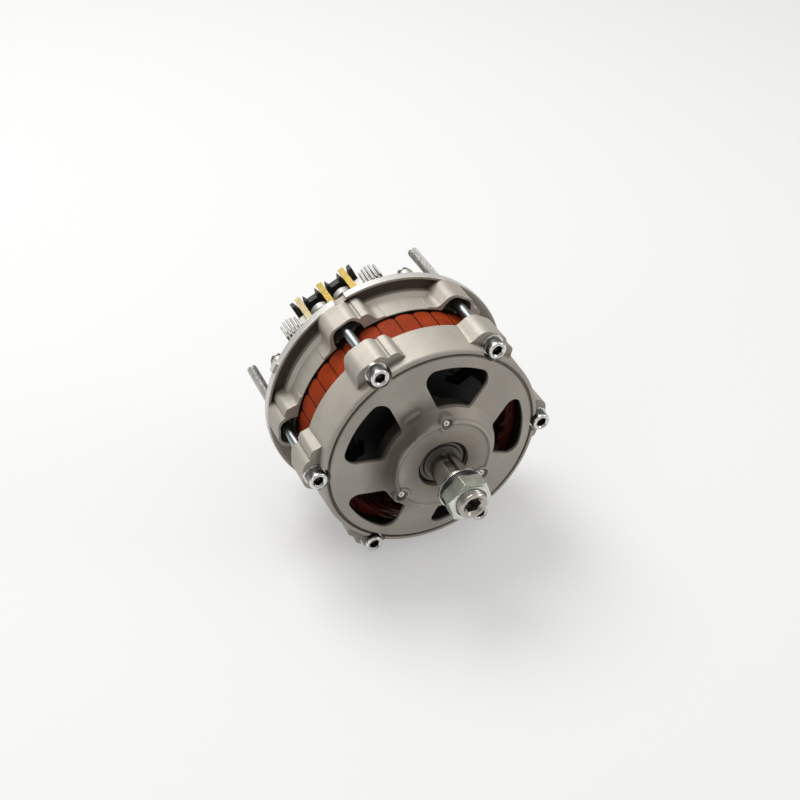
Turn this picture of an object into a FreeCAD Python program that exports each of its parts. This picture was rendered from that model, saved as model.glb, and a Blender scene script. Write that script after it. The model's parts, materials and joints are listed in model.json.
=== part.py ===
"""Alternator with an exposed stator, six through bolts, a rear flange and an open rectifier at the rear.

Millimetres. The shaft lies along Y with the drive end towards -Y, +Z is up, and the origin is on the
shaft axis in the flange's rear face. A clock angle runs from +Z towards +X as seen from the rear.
"""
import math
import os

import FreeCAD
import Part

V = FreeCAD.Vector
AXIS = V(0, 1, 0)
ORIGIN = V(0, 0, 0)

# Stator
STATOR_R = 59.6
STATOR_DEPTH = 14.6
STATOR_BORE_R = STATOR_R - STATOR_DEPTH
STATOR_FRONT_Y = -45.0
STATOR_REAR_Y = -16.0
SLOTS = 36
SLOT_W = 3.6
SLOT_MOUTH_W = 2.2
SLOT_DEPTH = 10.0
SLOT_LIP = 1.6
SLOT_THROAT = 2.8
LINER_T = 0.6
SLOT_R = STATOR_BORE_R + SLOT_DEPTH
END_TURN_GAP = 1.0
GROOVE_W = 0.9
GROOVE_DEPTH = 0.5
GROOVE_CLOCK = 3.4
REAR_NOTCH_R = 1.5
REAR_NOTCH_Y = -22.3

# Through bolts
BOLT_OFFSET = 5.4
BOLT_CIRCLE_R = STATOR_R + BOLT_OFFSET
BOLT_CLOCKS = (-90, -30, 30, 90, 150, 210)
STUD_CLOCKS = (-90, 30)
BOLT_SHANK_R = 2.65
STUD_R = 2.95
BOLT_CLEARANCE = 0.6
BOLT_HEAD_R = 5.0
BOLT_HEAD_H = 6.0
BOLT_WASHER_R = 6.0
BOLT_WASHER_T = 1.5
BOLT_SOCKET_FLATS = 5.0
BOLT_SOCKET_DEPTH = 4.4
SPOT_FACE_Y = -57.4
SPOT_POCKET_R = 7.0
STUD_END_Y = 39.5
BOLT_END_Y = -0.8

# Flange and rear housing
FLANGE_LIP = 6.2
FLANGE_R = BOLT_CIRCLE_R + FLANGE_LIP
FLANGE_T = 4.5
RIM_W = 1.9
LAND_W = 2.9
CHANNEL_W = 5.7
RIM_IN_R = FLANGE_R - RIM_W
LAND_IN_R = FLANGE_R - LAND_W
CHANNEL_IN_R = RIM_IN_R - CHANNEL_W
REAR_FACE_Y = -0.4
CHANNEL_FLOOR_Y = -1.9
LEDGE_Y = -6.9
REAR_WALL_T = 3.6
REAR_RIM_Y = -20.7
REAR_RIM_R = STATOR_R + 1.5
REAR_INNER_R = STATOR_R - 2.2

# Front housing
FRONT_RIM_Y = -40.5
FRONT_RIM_R = STATOR_R + 3.9
FRONT_CORNER_R = FRONT_RIM_R - 0.9
FRONT_CORNER_Y = -62.9
FRONT_INNER_R = STATOR_R - 2.4
HUB_R = 25.6
HUB_Y = -76.9
HUB_FACE_Y = -75.9
HUB_BORE_R = 14.2
BEAD_W = 2.2
FACE_OUT_R = FRONT_INNER_R - 4.35
FACE_OUT_Y = -64.4
FACE_IN_R = HUB_R + 7.0
FACE_IN_Y = -69.5
FACE_T = 2.6
WINDOWS = 5
WINDOW_CLOCK = 13.0

# Shaft end
SHAFT_R = 8.5
SHAFT_THREAD_R = 7.95
SHAFT_THREAD_PITCH = 1.5
SHAFT_THREAD_DEPTH = 0.7
SHAFT_END_Y = -110.9
SHOULDER_Y = -94.9
PLAIN_WASHER_T = 1.4
SPRING_WASHER_T = 2.2
NUT_H = 9.4
NUT_FLATS = 22.0
KEYWAY_CLOCK = -9.5
KEYWAY_W = 5.0
KEYWAY_DEPTH = 3.0
KEYWAY_Y0 = -94.0
KEYWAY_Y1 = -76.5

# Bearings: bore radius, outer radius, front face, rear face, ball radius, pitch radius, balls
FRONT_BEARING = (SHAFT_R, 20.0, -71.9, -59.9, 3.375, 14.25, 8)
REAR_BEARING = (6.0, 16.0, -8.5, 1.5, 2.975, 11.0, 8)
BALL_PLAY = 0.03

# Bearing retainer screws
RETAINER_CLOCKS = (0, 120, 240)
RETAINER_CIRCLE_R = 27.0
RETAINER_SCREW_R = 2.3
RETAINER_RING_R = RETAINER_CIRCLE_R - 1.5
RETAINER_LOBE_R = 5.2
EAR_R = 4.9
EAR_LIP_R = 3.3
EAR_Y = -75.4

# Rotor
AIR_GAP = 0.5
ROTOR_R = STATOR_BORE_R - AIR_GAP
CORE_R = 14.0
POLE_ROOT_Y = 17.5
POLES = 6

# Slip rings and brushes
RING_R = 8.0
RING_W = 5.0
RING_YS = (7.5, 15.5)
BRUSH_W = 4.9
BRUSH_T = 6.4
BRUSH_GAP = 0.05
BRUSH_FAR_Z = -22.0
SPRING_FAR_Z = -38.0
REGULATOR_CLOCKS = (150, 210)
REGULATOR_SCREW_R = 40.0
REGULATOR_SCREW_X = REGULATOR_SCREW_R * math.sin(math.radians(30))
REGULATOR_SCREW_Z = -REGULATOR_SCREW_R * math.cos(math.radians(30))
EAR_RISE = 4.641016151
EAR_REACH = 6.0
EAR_DEPTH = 10.0

# Rectifier, in a frame turned to this clock angle
RECTIFIER_CLOCK = -27.5
LEAD_US = (-14.3, 0.0, 14.3)
LEAD_W = 3.4
LEAD_T = 1.8
LEAD_IN_V = REAR_INNER_R - 8.1
LEAD_OUT_V = REAR_INNER_R + 3.0
LEAD_END_Y = 30.0
NEG_PLATE = (REAR_FACE_Y, REAR_FACE_Y + 3.2)
POS_PLATE = (12.0, 16.0)
PLATE_IN_R = 27.0
PLATE_OUT_R = REAR_INNER_R - 0.9
PLATE_HALF_ANGLE = 66
RECTIFIER_SCREWS = ((-58, REAR_INNER_R - 6.9), (-2.5, 31.5), (57.5, 45.0))
SCREW_R = 1.95
NEG_DIODES = ((-25.5, 36.0), (-13.0, 37.0), (25.5, 36.0))
POS_DIODES = ((-7.2, REAR_INNER_R - 2.2), (7.2, REAR_INNER_R - 2.2), (22.5, 40.0))
FIN_US = (21.2, 23.4, 25.6, 27.8, 30.0)
FIN_TOPS = (19.0, 20.6, 21.2, 20.6, 18.6)
FIN_T = 1.3
FIN_Y0 = 8.5
FIN_OUT_V = REAR_INNER_R + 3.0
FIN_IN_V = REAR_INNER_R - 14.4
SHOULDER_V = REAR_INNER_R - 6.9
B_PLUS = (-29.5, 24.5)
OUTPUT_R = 3.95
OUTPUT_SEAT_R = 3.6
EAR_SCREW_R = REAR_INNER_R + 2.4
EAR_SCREW_CLOCK = 44.5

# Capacitor
CAPACITOR_PLACE = (-44.0, -29.0)
CAPACITOR_R = 8.0
CAPACITOR_SCREW = (-147, 53.5)


def clocked(shape, clock):
    """The shape turned about the shaft axis by a clock angle."""
    copy = shape.copy()
    copy.rotate(ORIGIN, AXIS, clock)
    return copy


def at(u, v):
    """Clock angle and radius of a point (u across, v outwards)."""
    return math.degrees(math.atan2(u, v)), math.hypot(u, v)


def rounded_wire(corners, place):
    """Closed outline through (a, b) or (a, b, corner radius), placed in space by place(a, b).

    A radius that is too large for the two sides at its corner is limited by them.
    """
    count = len(corners)
    points = [V(corner[0], corner[1], 0) for corner in corners]
    sides = [points[(i + 1) % count] - points[i] for i in range(count)]
    halves = [(math.pi - sides[i - 1].getAngle(sides[i])) / 2 for i in range(count)]
    reaches = [corner[2] / math.tan(half) if len(corner) > 2 else 0.0 for corner, half in zip(corners, halves)]
    room = [1.0] * count
    for i, side in enumerate(sides):
        k = (i + 1) % count
        share = 0.98 * side.Length / max(reaches[i] + reaches[k], 1e-6)
        room[i] = min(room[i], share)
        room[k] = min(room[k], share)
    arcs = []
    for i, point in enumerate(points):
        reach = reaches[i] * room[i]
        back = V(sides[i - 1]).normalize() * -1
        ahead = V(sides[i]).normalize()
        depth = reach * (1 - math.sin(halves[i])) / math.cos(halves[i]) if reach else 0.0
        middle = point + (back + ahead).normalize() * depth if reach else point
        arcs.append([place(p.x, p.y) for p in (point + back * reach, middle, point + ahead * reach)])
    edges = []
    for i, (start, middle, stop) in enumerate(arcs):
        if start.distanceToPoint(stop) > 1e-6:
            edges.append(Part.Arc(start, middle, stop).toShape())
        following = arcs[(i + 1) % count][0]
        if stop.distanceToPoint(following) > 1e-6:
            edges.append(Part.makeLine(stop, following))
    return Part.Wire(edges)


def turned(corners):
    """Solid of revolution about the shaft axis from (radius, y) corners."""
    face = Part.Face(rounded_wire(corners, lambda r, y: V(r, y, 0)))
    return face.revolve(ORIGIN, AXIS, 360)


def plate(corners, y0, y1):
    """Flat outline of (x, z) corners extruded from y0 to y1."""
    face = Part.Face(rounded_wire(corners, lambda x, z: V(x, y0, z)))
    return face.extrude(V(0, y1 - y0, 0))


def rod(r, y0, y1, x=0.0, z=0.0):
    """Cylinder along the shaft direction."""
    return Part.makeCylinder(r, y1 - y0, V(x, y0, z), AXIS)


def tube(r0, r1, y0, y1, x=0.0, z=0.0):
    """Hollow cylinder along the shaft direction."""
    return rod(r1, y0, y1, x, z).cut(rod(r0, y0 - 1, y1 + 1, x, z))


def cone(r0, r1, y0, y1, x=0.0, z=0.0):
    """Cone along the shaft direction, from radius r0 at y0 to r1 at y1."""
    return Part.makeCone(r0, r1, y1 - y0, V(x, y0, z), AXIS)


def box(x0, x1, y0, y1, z0, z1):
    """Box between two corners."""
    return Part.makeBox(x1 - x0, y1 - y0, z1 - z0, V(x0, y0, z0))


def wedge(clock0, clock1, y0, y1, reach=120.0):
    """Pie slice between two clock angles less than 180 degrees apart."""
    middle = (clock0 + clock1) / 2
    corners = [(0, 0)]
    for clock in (clock0, middle, clock1):
        angle = math.radians(clock)
        corners.append((reach * math.sin(angle), reach * math.cos(angle)))
    return plate(corners, y0, y1)


def sector(r0, r1, y0, y1, clock0, clock1):
    """Part of a ring between two clock angles."""
    return tube(r0, r1, y0, y1).common(wedge(clock0, clock1, y0 - 1, y1 + 1))


def hexagon(flats, y0, y1, x=0.0, z=0.0):
    """Hexagonal prism along the shaft direction."""
    corner = flats / math.sqrt(3)
    corners = []
    for k in range(6):
        angle = math.radians(60 * k)
        corners.append((x + corner * math.cos(angle), z + corner * math.sin(angle)))
    return plate(corners, y0, y1)


def merged(shapes):
    """One shape from a list."""
    return shapes[0].multiFuse(shapes[1:]).removeSplitter()


def around(shape, clocks):
    """Copies of a shape at several clock angles."""
    return [clocked(shape, clock) for clock in clocks]


def long_edges(shape, least, keep):
    """Edges along the shaft direction, longer than least, whose (x, z) passes keep."""
    found = []
    for edge in shape.Edges:
        ends = [vertex.Point for vertex in edge.Vertexes]
        if len(ends) != 2:
            continue
        span = ends[1] - ends[0]
        if abs(span.y) > least and abs(span.x) + abs(span.z) < 1e-4 and keep(ends[0].x, ends[0].z):
            found.append(edge)
    return found


def rectified(shape):
    """A rectifier piece turned to its clock angle."""
    return clocked(shape, RECTIFIER_CLOCK)


def boss_outline(top, wall):
    """Bolt boss outline on a wall of that radius: rounded arch with a lower rounded ridge beside it."""
    z = BOLT_CIRCLE_R
    foot = wall - 62.8
    return [
        (-18.0, 57.0 + foot), (-18.0, 60.0 + foot), (-12.4, 61.4 + foot, 4.5), (-8.2, top, 6.6),
        (7.0, top, 5.6), (9.4, z + 1.3, 1.5), (10.8, z + 2.3, 1.5), (14.6, z + 1.2, 2.6),
        (16.6, 60.5 + foot, 2.5), (21.0, 59.0 + foot), (21.0, 56.0 + foot),
    ]


def ball_bearing(sizes):
    """Outer ring, inner ring, balls, cage and the two seals of a ball bearing."""
    bore, outer, y0, y1, ball_r, pitch_r, balls = sizes
    middle = (y0 + y1) / 2
    inner_land = pitch_r - ball_r * 0.76
    outer_land = pitch_r + ball_r * 0.76
    groove = Part.makeTorus(pitch_r, ball_r + BALL_PLAY, V(0, middle, 0), AXIS)
    inner_ring = turned([(bore, y0, 0.5), (inner_land, y0, 0.3), (inner_land, y1, 0.3), (bore, y1, 0.5)])
    outer_ring = turned([(outer_land, y0, 0.3), (outer, y0, 0.6), (outer, y1, 0.6), (outer_land, y1, 0.3)])
    ball_list = []
    pockets = []
    for k in range(balls):
        angle = 2 * math.pi * k / balls
        centre = V(pitch_r * math.sin(angle), middle, pitch_r * math.cos(angle))
        ball_list.append(Part.makeSphere(ball_r, centre))
        pockets.append(Part.makeSphere(ball_r + 0.08, centre))
    cage = tube(pitch_r - 0.9, pitch_r + 0.9, middle - ball_r * 0.72, middle + ball_r * 0.72)
    cage = cage.cut(pockets[0].multiFuse(pockets[1:]))
    seals = []
    for y in (y0 + 0.5, y1 - 1.2):
        seals.append(tube(inner_land + 0.35, outer_land, y, y + 0.7))
    return (
        outer_ring.cut(groove),
        inner_ring.cut(groove),
        Part.makeCompound(ball_list),
        cage,
        Part.makeCompound(seals),
    )


def front_window():
    """Cutter of one front window."""
    y0 = HUB_Y - 3.0
    y1 = FRONT_CORNER_Y + 11.0
    low = FACE_IN_R - 2.0
    side = FACE_OUT_R - 0.65
    high = FACE_OUT_R + 3.15
    corners = [(-9.3, low), (9.3, low), (24.6, side), (20.0, high), (-20.0, high), (-24.6, side)]
    window = plate(corners, y0, y1).common(tube(FACE_IN_R, FACE_OUT_R, y0, y1))
    window = window.makeFillet(6.0, long_edges(window, 20, lambda x, z: math.hypot(x, z) > FACE_OUT_R - 3))
    return window.makeFillet(2.4, long_edges(window, 20, lambda x, z: math.hypot(x, z) < FACE_IN_R + 3))


def drive_end_housing():
    """Front housing: side wall, domed face with windows, bolt bosses and the bearing hub."""
    bearing_r, bearing_y0, bearing_y1 = FRONT_BEARING[1:4]
    corner = FRONT_CORNER_R
    bead_in = HUB_R + 0.6
    bead_out = bead_in + BEAD_W
    shell = turned([
        (STATOR_R, FRONT_RIM_Y), (FRONT_RIM_R, FRONT_RIM_Y, 0.8), (corner, FRONT_CORNER_Y, 2.0),
        (corner - 2.5, FRONT_CORNER_Y), (corner - 2.9, FRONT_CORNER_Y + 1.3),
        (corner - 3.7, FRONT_CORNER_Y + 1.3), (corner - 4.4, FRONT_CORNER_Y - 0.4, 0.5),
        (FACE_OUT_R, FACE_OUT_Y, 20.0), (FACE_IN_R + 0.8, FACE_IN_Y, 2.5),
        (bead_out + 0.7, HUB_Y + 2.1, 1.2), (bead_out - 0.2, HUB_Y, 0.9), (bead_in + 0.2, HUB_Y, 0.7),
        (bead_in - 0.3, HUB_FACE_Y, 0.2), (HUB_BORE_R, HUB_FACE_Y, 0.4), (HUB_BORE_R, bearing_y0),
        (bearing_r, bearing_y0), (bearing_r, bearing_y1), (FACE_IN_R - 1.2, bearing_y1, 0.8),
        (FACE_IN_R, FACE_IN_Y + FACE_T, 1.0), (FACE_OUT_R + 1.2, FACE_OUT_Y + FACE_T, 3.0),
        (FRONT_INNER_R, FRONT_CORNER_Y + 3.4, 1.2), (FRONT_INNER_R, STATOR_FRONT_Y),
        (STATOR_R, STATOR_FRONT_Y),
    ])
    clocks = [WINDOW_CLOCK + 360 / WINDOWS * k for k in range(WINDOWS)]
    shell = shell.cut(around(front_window(), clocks))
    pocket = rod(SPOT_POCKET_R, -90, SPOT_FACE_Y, 0, BOLT_CIRCLE_R)
    shell = shell.cut(around(pocket, BOLT_CLOCKS))
    boss = plate(boss_outline(BOLT_CIRCLE_R + 6.0, FRONT_CORNER_R), SPOT_FACE_Y, FRONT_RIM_Y)
    boss = boss.cut(rod(STATOR_R + 0.8, -90, 0))
    ear = rod(EAR_R, HUB_Y + 0.8, bearing_y1, 0, RETAINER_CIRCLE_R)
    ear = ear.cut(rod(bearing_r + 1.0, -80, bearing_y1 + 1))
    lip = turned([
        (EAR_LIP_R - 0.4, HUB_Y + 2.0), (EAR_LIP_R, HUB_Y, 0.4), (EAR_R - 0.3, HUB_Y, 0.8),
        (EAR_R, HUB_Y + 2.0),
    ])
    lip.translate(V(0, 0, RETAINER_CIRCLE_R))
    well = rod(EAR_LIP_R - 0.1, HUB_Y - 1, EAR_Y, 0, RETAINER_CIRCLE_R)
    screw_hole = rod(RETAINER_SCREW_R, -80, -55, 0, RETAINER_CIRCLE_R)
    cast_rib = sector(FACE_IN_R + 2.8, FACE_IN_R + 5.0, FACE_IN_Y - 1.1, FACE_IN_Y + 2.0,
                      WINDOW_CLOCK - 49, WINDOW_CLOCK - 33)
    body = merged([shell, cast_rib] + around(boss, BOLT_CLOCKS) + around(ear, RETAINER_CLOCKS))
    body = body.cut(around(well, RETAINER_CLOCKS))
    body = merged([body] + around(lip, RETAINER_CLOCKS))
    bolt_hole = rod(BOLT_SHANK_R + BOLT_CLEARANCE, -90, 0, 0, BOLT_CIRCLE_R)
    return body.cut(around(bolt_hole, BOLT_CLOCKS) + around(screw_hole, RETAINER_CLOCKS))


def slip_ring_end_housing():
    """Rear housing: flange with two recessed channels, bowl, hollow bolt bosses and the rear hub."""
    bore, outer, y0, y1 = REAR_BEARING[:4]
    hub_r = outer + 5.0
    shell = turned([
        (STATOR_R, REAR_RIM_Y + 2.3), (REAR_RIM_R - 0.7, REAR_RIM_Y, 0.2), (REAR_RIM_R, REAR_RIM_Y, 0.3),
        (REAR_RIM_R + 0.8, REAR_RIM_Y + 11.5), (CHANNEL_IN_R, LEDGE_Y, 0.5), (CHANNEL_IN_R, CHANNEL_FLOOR_Y),
        (RIM_IN_R, CHANNEL_FLOOR_Y), (RIM_IN_R, -FLANGE_T, 0.3), (FLANGE_R, -FLANGE_T, 0.6),
        (FLANGE_R, 0, 0.3), (LAND_IN_R, 0), (LAND_IN_R, REAR_FACE_Y), (hub_r, REAR_FACE_Y),
        (hub_r, y1 + 1.5, 0.8), (9.5, y1 + 1.5), (9.5, y1), (outer, y1), (outer, y0 - 1.0),
        (hub_r, y0 - 1.0, 0.8), (hub_r + 1.4, -REAR_WALL_T, 1.5),
        (REAR_INNER_R - 2.2, -REAR_WALL_T, 2.0), (REAR_INNER_R, -REAR_WALL_T - 2.8, 1.0),
        (REAR_INNER_R, STATOR_REAR_Y), (STATOR_R, STATOR_REAR_Y),
    ])
    fills = []
    for clock in (30, 110, 190):
        fills.append(sector(CHANNEL_IN_R - 0.6, RIM_IN_R + 0.4, -FLANGE_T, -0.5, clock, clock + 80))
    boss = plate(boss_outline(FLANGE_R - 0.3, REAR_RIM_R + 0.9), REAR_RIM_Y, CHANNEL_FLOOR_Y + 0.2)
    boss = boss.cut(rod(STATOR_R + 0.8, -90, 5))
    window = sector(27.5, REAR_INNER_R - 3.9, -20, 10, -22, 22)
    window = window.makeFillet(3.0, long_edges(window, 20, lambda x, z: True))
    body = merged([shell] + fills + around(boss, BOLT_CLOCKS))
    body = body.cut(around(window, range(0, 360, 60)))
    z = BOLT_CIRCLE_R
    mouth = plate([
        (-9.0, 50.0), (-9.0, z - 2.6, 3.0), (-6.6, z + 4.6, 5.2), (5.6, z + 4.6, 4.4), (8.4, z - 1.4, 2.4),
        (8.6, 50.0),
    ], REAR_RIM_Y - 1, -8.0).cut(rod(STATOR_R, -90, 5))
    bolt_hole = rod(BOLT_SHANK_R, -30, 5, 0, BOLT_CIRCLE_R)
    notch = box(-3.4, 3.4, -6.0, 1.0, FLANGE_R - 1.8, FLANGE_R + 3.8)
    lead_hole = rectified(rod(4.2, -20, 5, 0, LEAD_IN_V))
    lug = sector(FLANGE_R - 1.5, FLANGE_R + 1.8, -3.4, 0, -68, -63.5)
    posts = around(rod(4.6, -1.0, 3.6, 0, REGULATOR_SCREW_R), REGULATOR_CLOCKS)
    clock, r = CAPACITOR_SCREW
    posts.append(clocked(rod(4.6, -1.0, 3.6, 0, r), clock))
    body = merged([body, lug] + posts)
    cuts = around(mouth, BOLT_CLOCKS) + around(bolt_hole, BOLT_CLOCKS)
    cuts += [clocked(notch, -24.5), lead_hole, clocked(rod(SCREW_R, -10, 10, 0, r), clock)]
    cuts += around(rod(SCREW_R, -10, 10, 0, REGULATOR_SCREW_R), REGULATOR_CLOCKS)
    for offset, r in RECTIFIER_SCREWS:
        cuts.append(clocked(rod(SCREW_R, -10, 5, 0, r), RECTIFIER_CLOCK + offset))
    return body.cut(cuts)


def slot_clocks(offset=0.0):
    """Clock angles of the stator's slots."""
    return [offset + 360 / SLOTS * k for k in range(SLOTS)]


def stator_core():
    """Laminated ring with open slots inside and shallow grooves outside, notched at their rear ends."""
    ring = tube(STATOR_BORE_R, STATOR_R, STATOR_FRONT_Y, STATOR_REAR_Y)
    half = SLOT_W / 2
    mouth = SLOT_MOUTH_W / 2
    lip = STATOR_BORE_R + SLOT_LIP
    throat = STATOR_BORE_R + SLOT_THROAT
    slot = plate([
        (-mouth, STATOR_BORE_R - 2), (mouth, STATOR_BORE_R - 2), (mouth, lip), (half, throat),
        (half, SLOT_R, 1.0), (-half, SLOT_R, 1.0), (-half, throat), (-mouth, lip),
    ], STATOR_FRONT_Y - 1, STATOR_REAR_Y + 1)
    groove = box(-GROOVE_W / 2, GROOVE_W / 2, STATOR_FRONT_Y - 1, STATOR_REAR_Y + 1,
                 STATOR_R - GROOVE_DEPTH, STATOR_R + 3)
    notch = rod(REAR_NOTCH_R, REAR_NOTCH_Y, STATOR_REAR_Y + 1, 0, STATOR_R + 0.6)
    clocks = slot_clocks(GROOVE_CLOCK)
    return ring.cut(around(slot, slot_clocks()) + around(groove, clocks) + around(notch, clocks))


def slot_bundle():
    """Wires of one slot inside its liner, up to the end turns on both sides."""
    half = SLOT_W / 2 - LINER_T / 2
    low = STATOR_BORE_R + SLOT_THROAT + LINER_T
    high = SLOT_R - LINER_T
    return plate([(-half, low), (half, low), (half, high, 0.6), (-half, high, 0.6)],
                 STATOR_FRONT_Y - END_TURN_GAP, STATOR_REAR_Y + END_TURN_GAP)


def end_turns(stator_y, side, length):
    """Rounded ring of end turns beyond one end of the stator. Side -1 is the front."""
    low = STATOR_BORE_R + SLOT_THROAT
    high = SLOT_R
    near = stator_y + side * END_TURN_GAP
    return turned([
        (low, near, 0.8), (high + 0.4, near, 0.8), (high + 1.0, stator_y + side * length * 0.66, 3.0),
        (high - 1.6, stator_y + side * length, 2.5), (low + 1.1, stator_y + side * length, 2.5),
        (low - 1.0, stator_y + side * length * 0.56, 2.5),
    ])


def slot_liners():
    """Insulating U-shaped liner and wedge in every slot."""
    half = SLOT_W / 2
    low = STATOR_BORE_R + SLOT_THROAT
    outer = plate([(-half, low), (half, low), (half, SLOT_R, 1.0), (-half, SLOT_R, 1.0)],
                  STATOR_FRONT_Y - 0.6, STATOR_REAR_Y + 0.6)
    return Part.makeCompound(around(outer.cut(slot_bundle()), slot_clocks()))


def through_bolt(end_y):
    """Socket-head bolt whose head front face is at the drive end."""
    washer_y = SPOT_FACE_Y - BOLT_WASHER_T
    head_y = washer_y - BOLT_HEAD_H
    z = BOLT_CIRCLE_R
    head = rod(BOLT_HEAD_R, head_y, washer_y, 0, z)
    front = [edge for edge in head.Edges if edge.Length > 5 and edge.CenterOfMass.y < head_y + 0.1]
    head = head.makeFillet(0.9, front)
    socket = hexagon(BOLT_SOCKET_FLATS, head_y - 1, head_y + BOLT_SOCKET_DEPTH, 0, z)
    mouth = cone(3.5, 2.5, head_y - 0.01, head_y + 0.8, 0, z)
    shank = rod(BOLT_SHANK_R, washer_y - 0.5, min(end_y, 0.0), 0, z)
    pieces = [head.cut([socket, mouth]), shank]
    if end_y > 0:
        pieces.append(rod(STUD_R, 0.0, end_y - 0.7, 0, z))
        pieces.append(cone(STUD_R, STUD_R - 0.7, end_y - 0.7, end_y, 0, z))
    return merged(pieces)


def bolt_washers():
    """Washers under the bolt heads."""
    y1 = SPOT_FACE_Y
    ring = tube(BOLT_SHANK_R + 0.35, BOLT_WASHER_R, y1 - BOLT_WASHER_T, y1, 0, BOLT_CIRCLE_R)
    return Part.makeCompound(around(ring, BOLT_CLOCKS))


def retainer_plate():
    """Ring behind the front bearing with a lobe for each screw."""
    y0 = FRONT_BEARING[3]
    ring = tube(RETAINER_RING_R - 10.0, RETAINER_RING_R, y0, y0 + 2.0)
    lobe = rod(RETAINER_LOBE_R, y0, y0 + 2.0, 0, RETAINER_CIRCLE_R)
    holes = around(rod(RETAINER_SCREW_R + 0.3, y0 - 1, y0 + 3, 0, RETAINER_CIRCLE_R), RETAINER_CLOCKS)
    return merged([ring] + around(lobe, RETAINER_CLOCKS)).cut(holes)


def retainer_screws():
    """Screws put in from behind, their tips showing in the hub's front ears."""
    z = RETAINER_CIRCLE_R
    seat_y = FRONT_BEARING[3] + 2.0
    tip_y = EAR_Y - 0.3
    head = rod(4.3, seat_y, seat_y + 2.8, 0, z)
    rear = [edge for edge in head.Edges if edge.Length > 5 and edge.CenterOfMass.y > seat_y + 2.7]
    head = head.makeFillet(1.2, rear)
    socket = hexagon(3.0, seat_y + 1.2, seat_y + 4, 0, z)
    body = rod(RETAINER_SCREW_R, tip_y + 0.7, seat_y + 0.2, 0, z)
    tip = cone(1.6, RETAINER_SCREW_R, tip_y, tip_y + 0.7, 0, z)
    dimple = cone(0.8, 0.2, tip_y - 0.01, tip_y + 0.8, 0, z)
    screw = merged([head.cut(socket), body, tip]).cut(dimple)
    return Part.makeCompound(around(screw, RETAINER_CLOCKS))


def rotor_shaft():
    """Stepped shaft with keyway, threaded front end and hexagonal socket."""
    front_y1 = FRONT_BEARING[3]
    rear_y0, rear_y1 = REAR_BEARING[2:4]
    pitch = SHAFT_THREAD_PITCH
    root = SHAFT_THREAD_R - SHAFT_THREAD_DEPTH
    profile = [(0, SHAFT_END_Y), (root, SHAFT_END_Y)]
    for k in range(2):
        y = SHAFT_END_Y + pitch * k
        profile += [(SHAFT_THREAD_R, y + pitch * 0.45), (SHAFT_THREAD_R, y + pitch * 0.65), (root, y + pitch)]
    profile += [
        (SHAFT_THREAD_R, SHAFT_END_Y + pitch * 2.45), (SHAFT_THREAD_R, SHOULDER_Y), (SHAFT_R, SHOULDER_Y),
        (SHAFT_R, front_y1), (10.5, front_y1, 0.6), (10.5, -48.0), (9.0, -48.0), (9.0, -13.0), (8.0, -13.0),
        (8.0, rear_y0), (REAR_BEARING[0], rear_y0), (REAR_BEARING[0], rear_y1), (5.0, rear_y1), (5.0, 21.0),
        (4.4, 21.6), (0, 21.6),
    ]
    body = turned(profile)
    socket = hexagon(8.0, SHAFT_END_Y - 1, SHAFT_END_Y + 9.0)
    mouth = cone(5.9, 4.3, SHAFT_END_Y - 0.01, SHAFT_END_Y + 1.4)
    half = KEYWAY_W / 2
    floor_z = SHAFT_R - KEYWAY_DEPTH
    keyway = box(-half, half, KEYWAY_Y0 + half, KEYWAY_Y1 - half, floor_z, SHAFT_R + 1)
    ends = []
    for y in (KEYWAY_Y0 + half, KEYWAY_Y1 - half):
        ends.append(Part.makeCylinder(half, KEYWAY_DEPTH + 1, V(0, y, floor_z), V(0, 0, 1)))
    return body.cut([socket, mouth, clocked(merged([keyway] + ends), KEYWAY_CLOCK)])


def thrust_collar():
    """Collar on the shaft in front of the front bearing's inner ring."""
    y = FRONT_BEARING[2]
    return turned([
        (SHAFT_R, y), (10.6, y), (10.6, y - 0.8), (12.6, y - 0.8, 0.2), (12.6, y - 1.7, 0.3), (10.9, y - 1.7),
        (10.3, y - 2.9, 0.3), (SHAFT_R, y - 2.9),
    ])


def shaft_nut():
    """Hexagonal nut, chamfered at its front, on the shaft's thread."""
    y1 = SHOULDER_Y - PLAIN_WASHER_T - SPRING_WASHER_T
    y0 = y1 - NUT_H
    blank = hexagon(NUT_FLATS, y0, y1)
    turning = turned([
        (0, y0), (10.2, y0), (12.9, y0 + 1.6), (12.9, y1 - 0.9), (11.6, y1), (0, y1),
    ])
    nut = blank.common(turning).cut(rod(SHAFT_THREAD_R + 0.02, y0 - 1, y1 + 1))
    nut = nut.cut(cone(SHAFT_THREAD_R + 0.8, SHAFT_THREAD_R + 0.02, y0 - 0.01, y0 + 0.8))
    return clocked(nut, 12)


def spring_washer():
    """Split lock washer."""
    y1 = SHOULDER_Y - PLAIN_WASHER_T
    ring = tube(8.2, 11.7, y1 - SPRING_WASHER_T, y1)
    split = box(-0.8, 0.8, y1 - 10, y1 + 10, 5, 15)
    split.rotate(V(0, y1 - SPRING_WASHER_T / 2, 0), V(0, 0, 1), 25)
    return ring.cut(clocked(split, 160))


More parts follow.
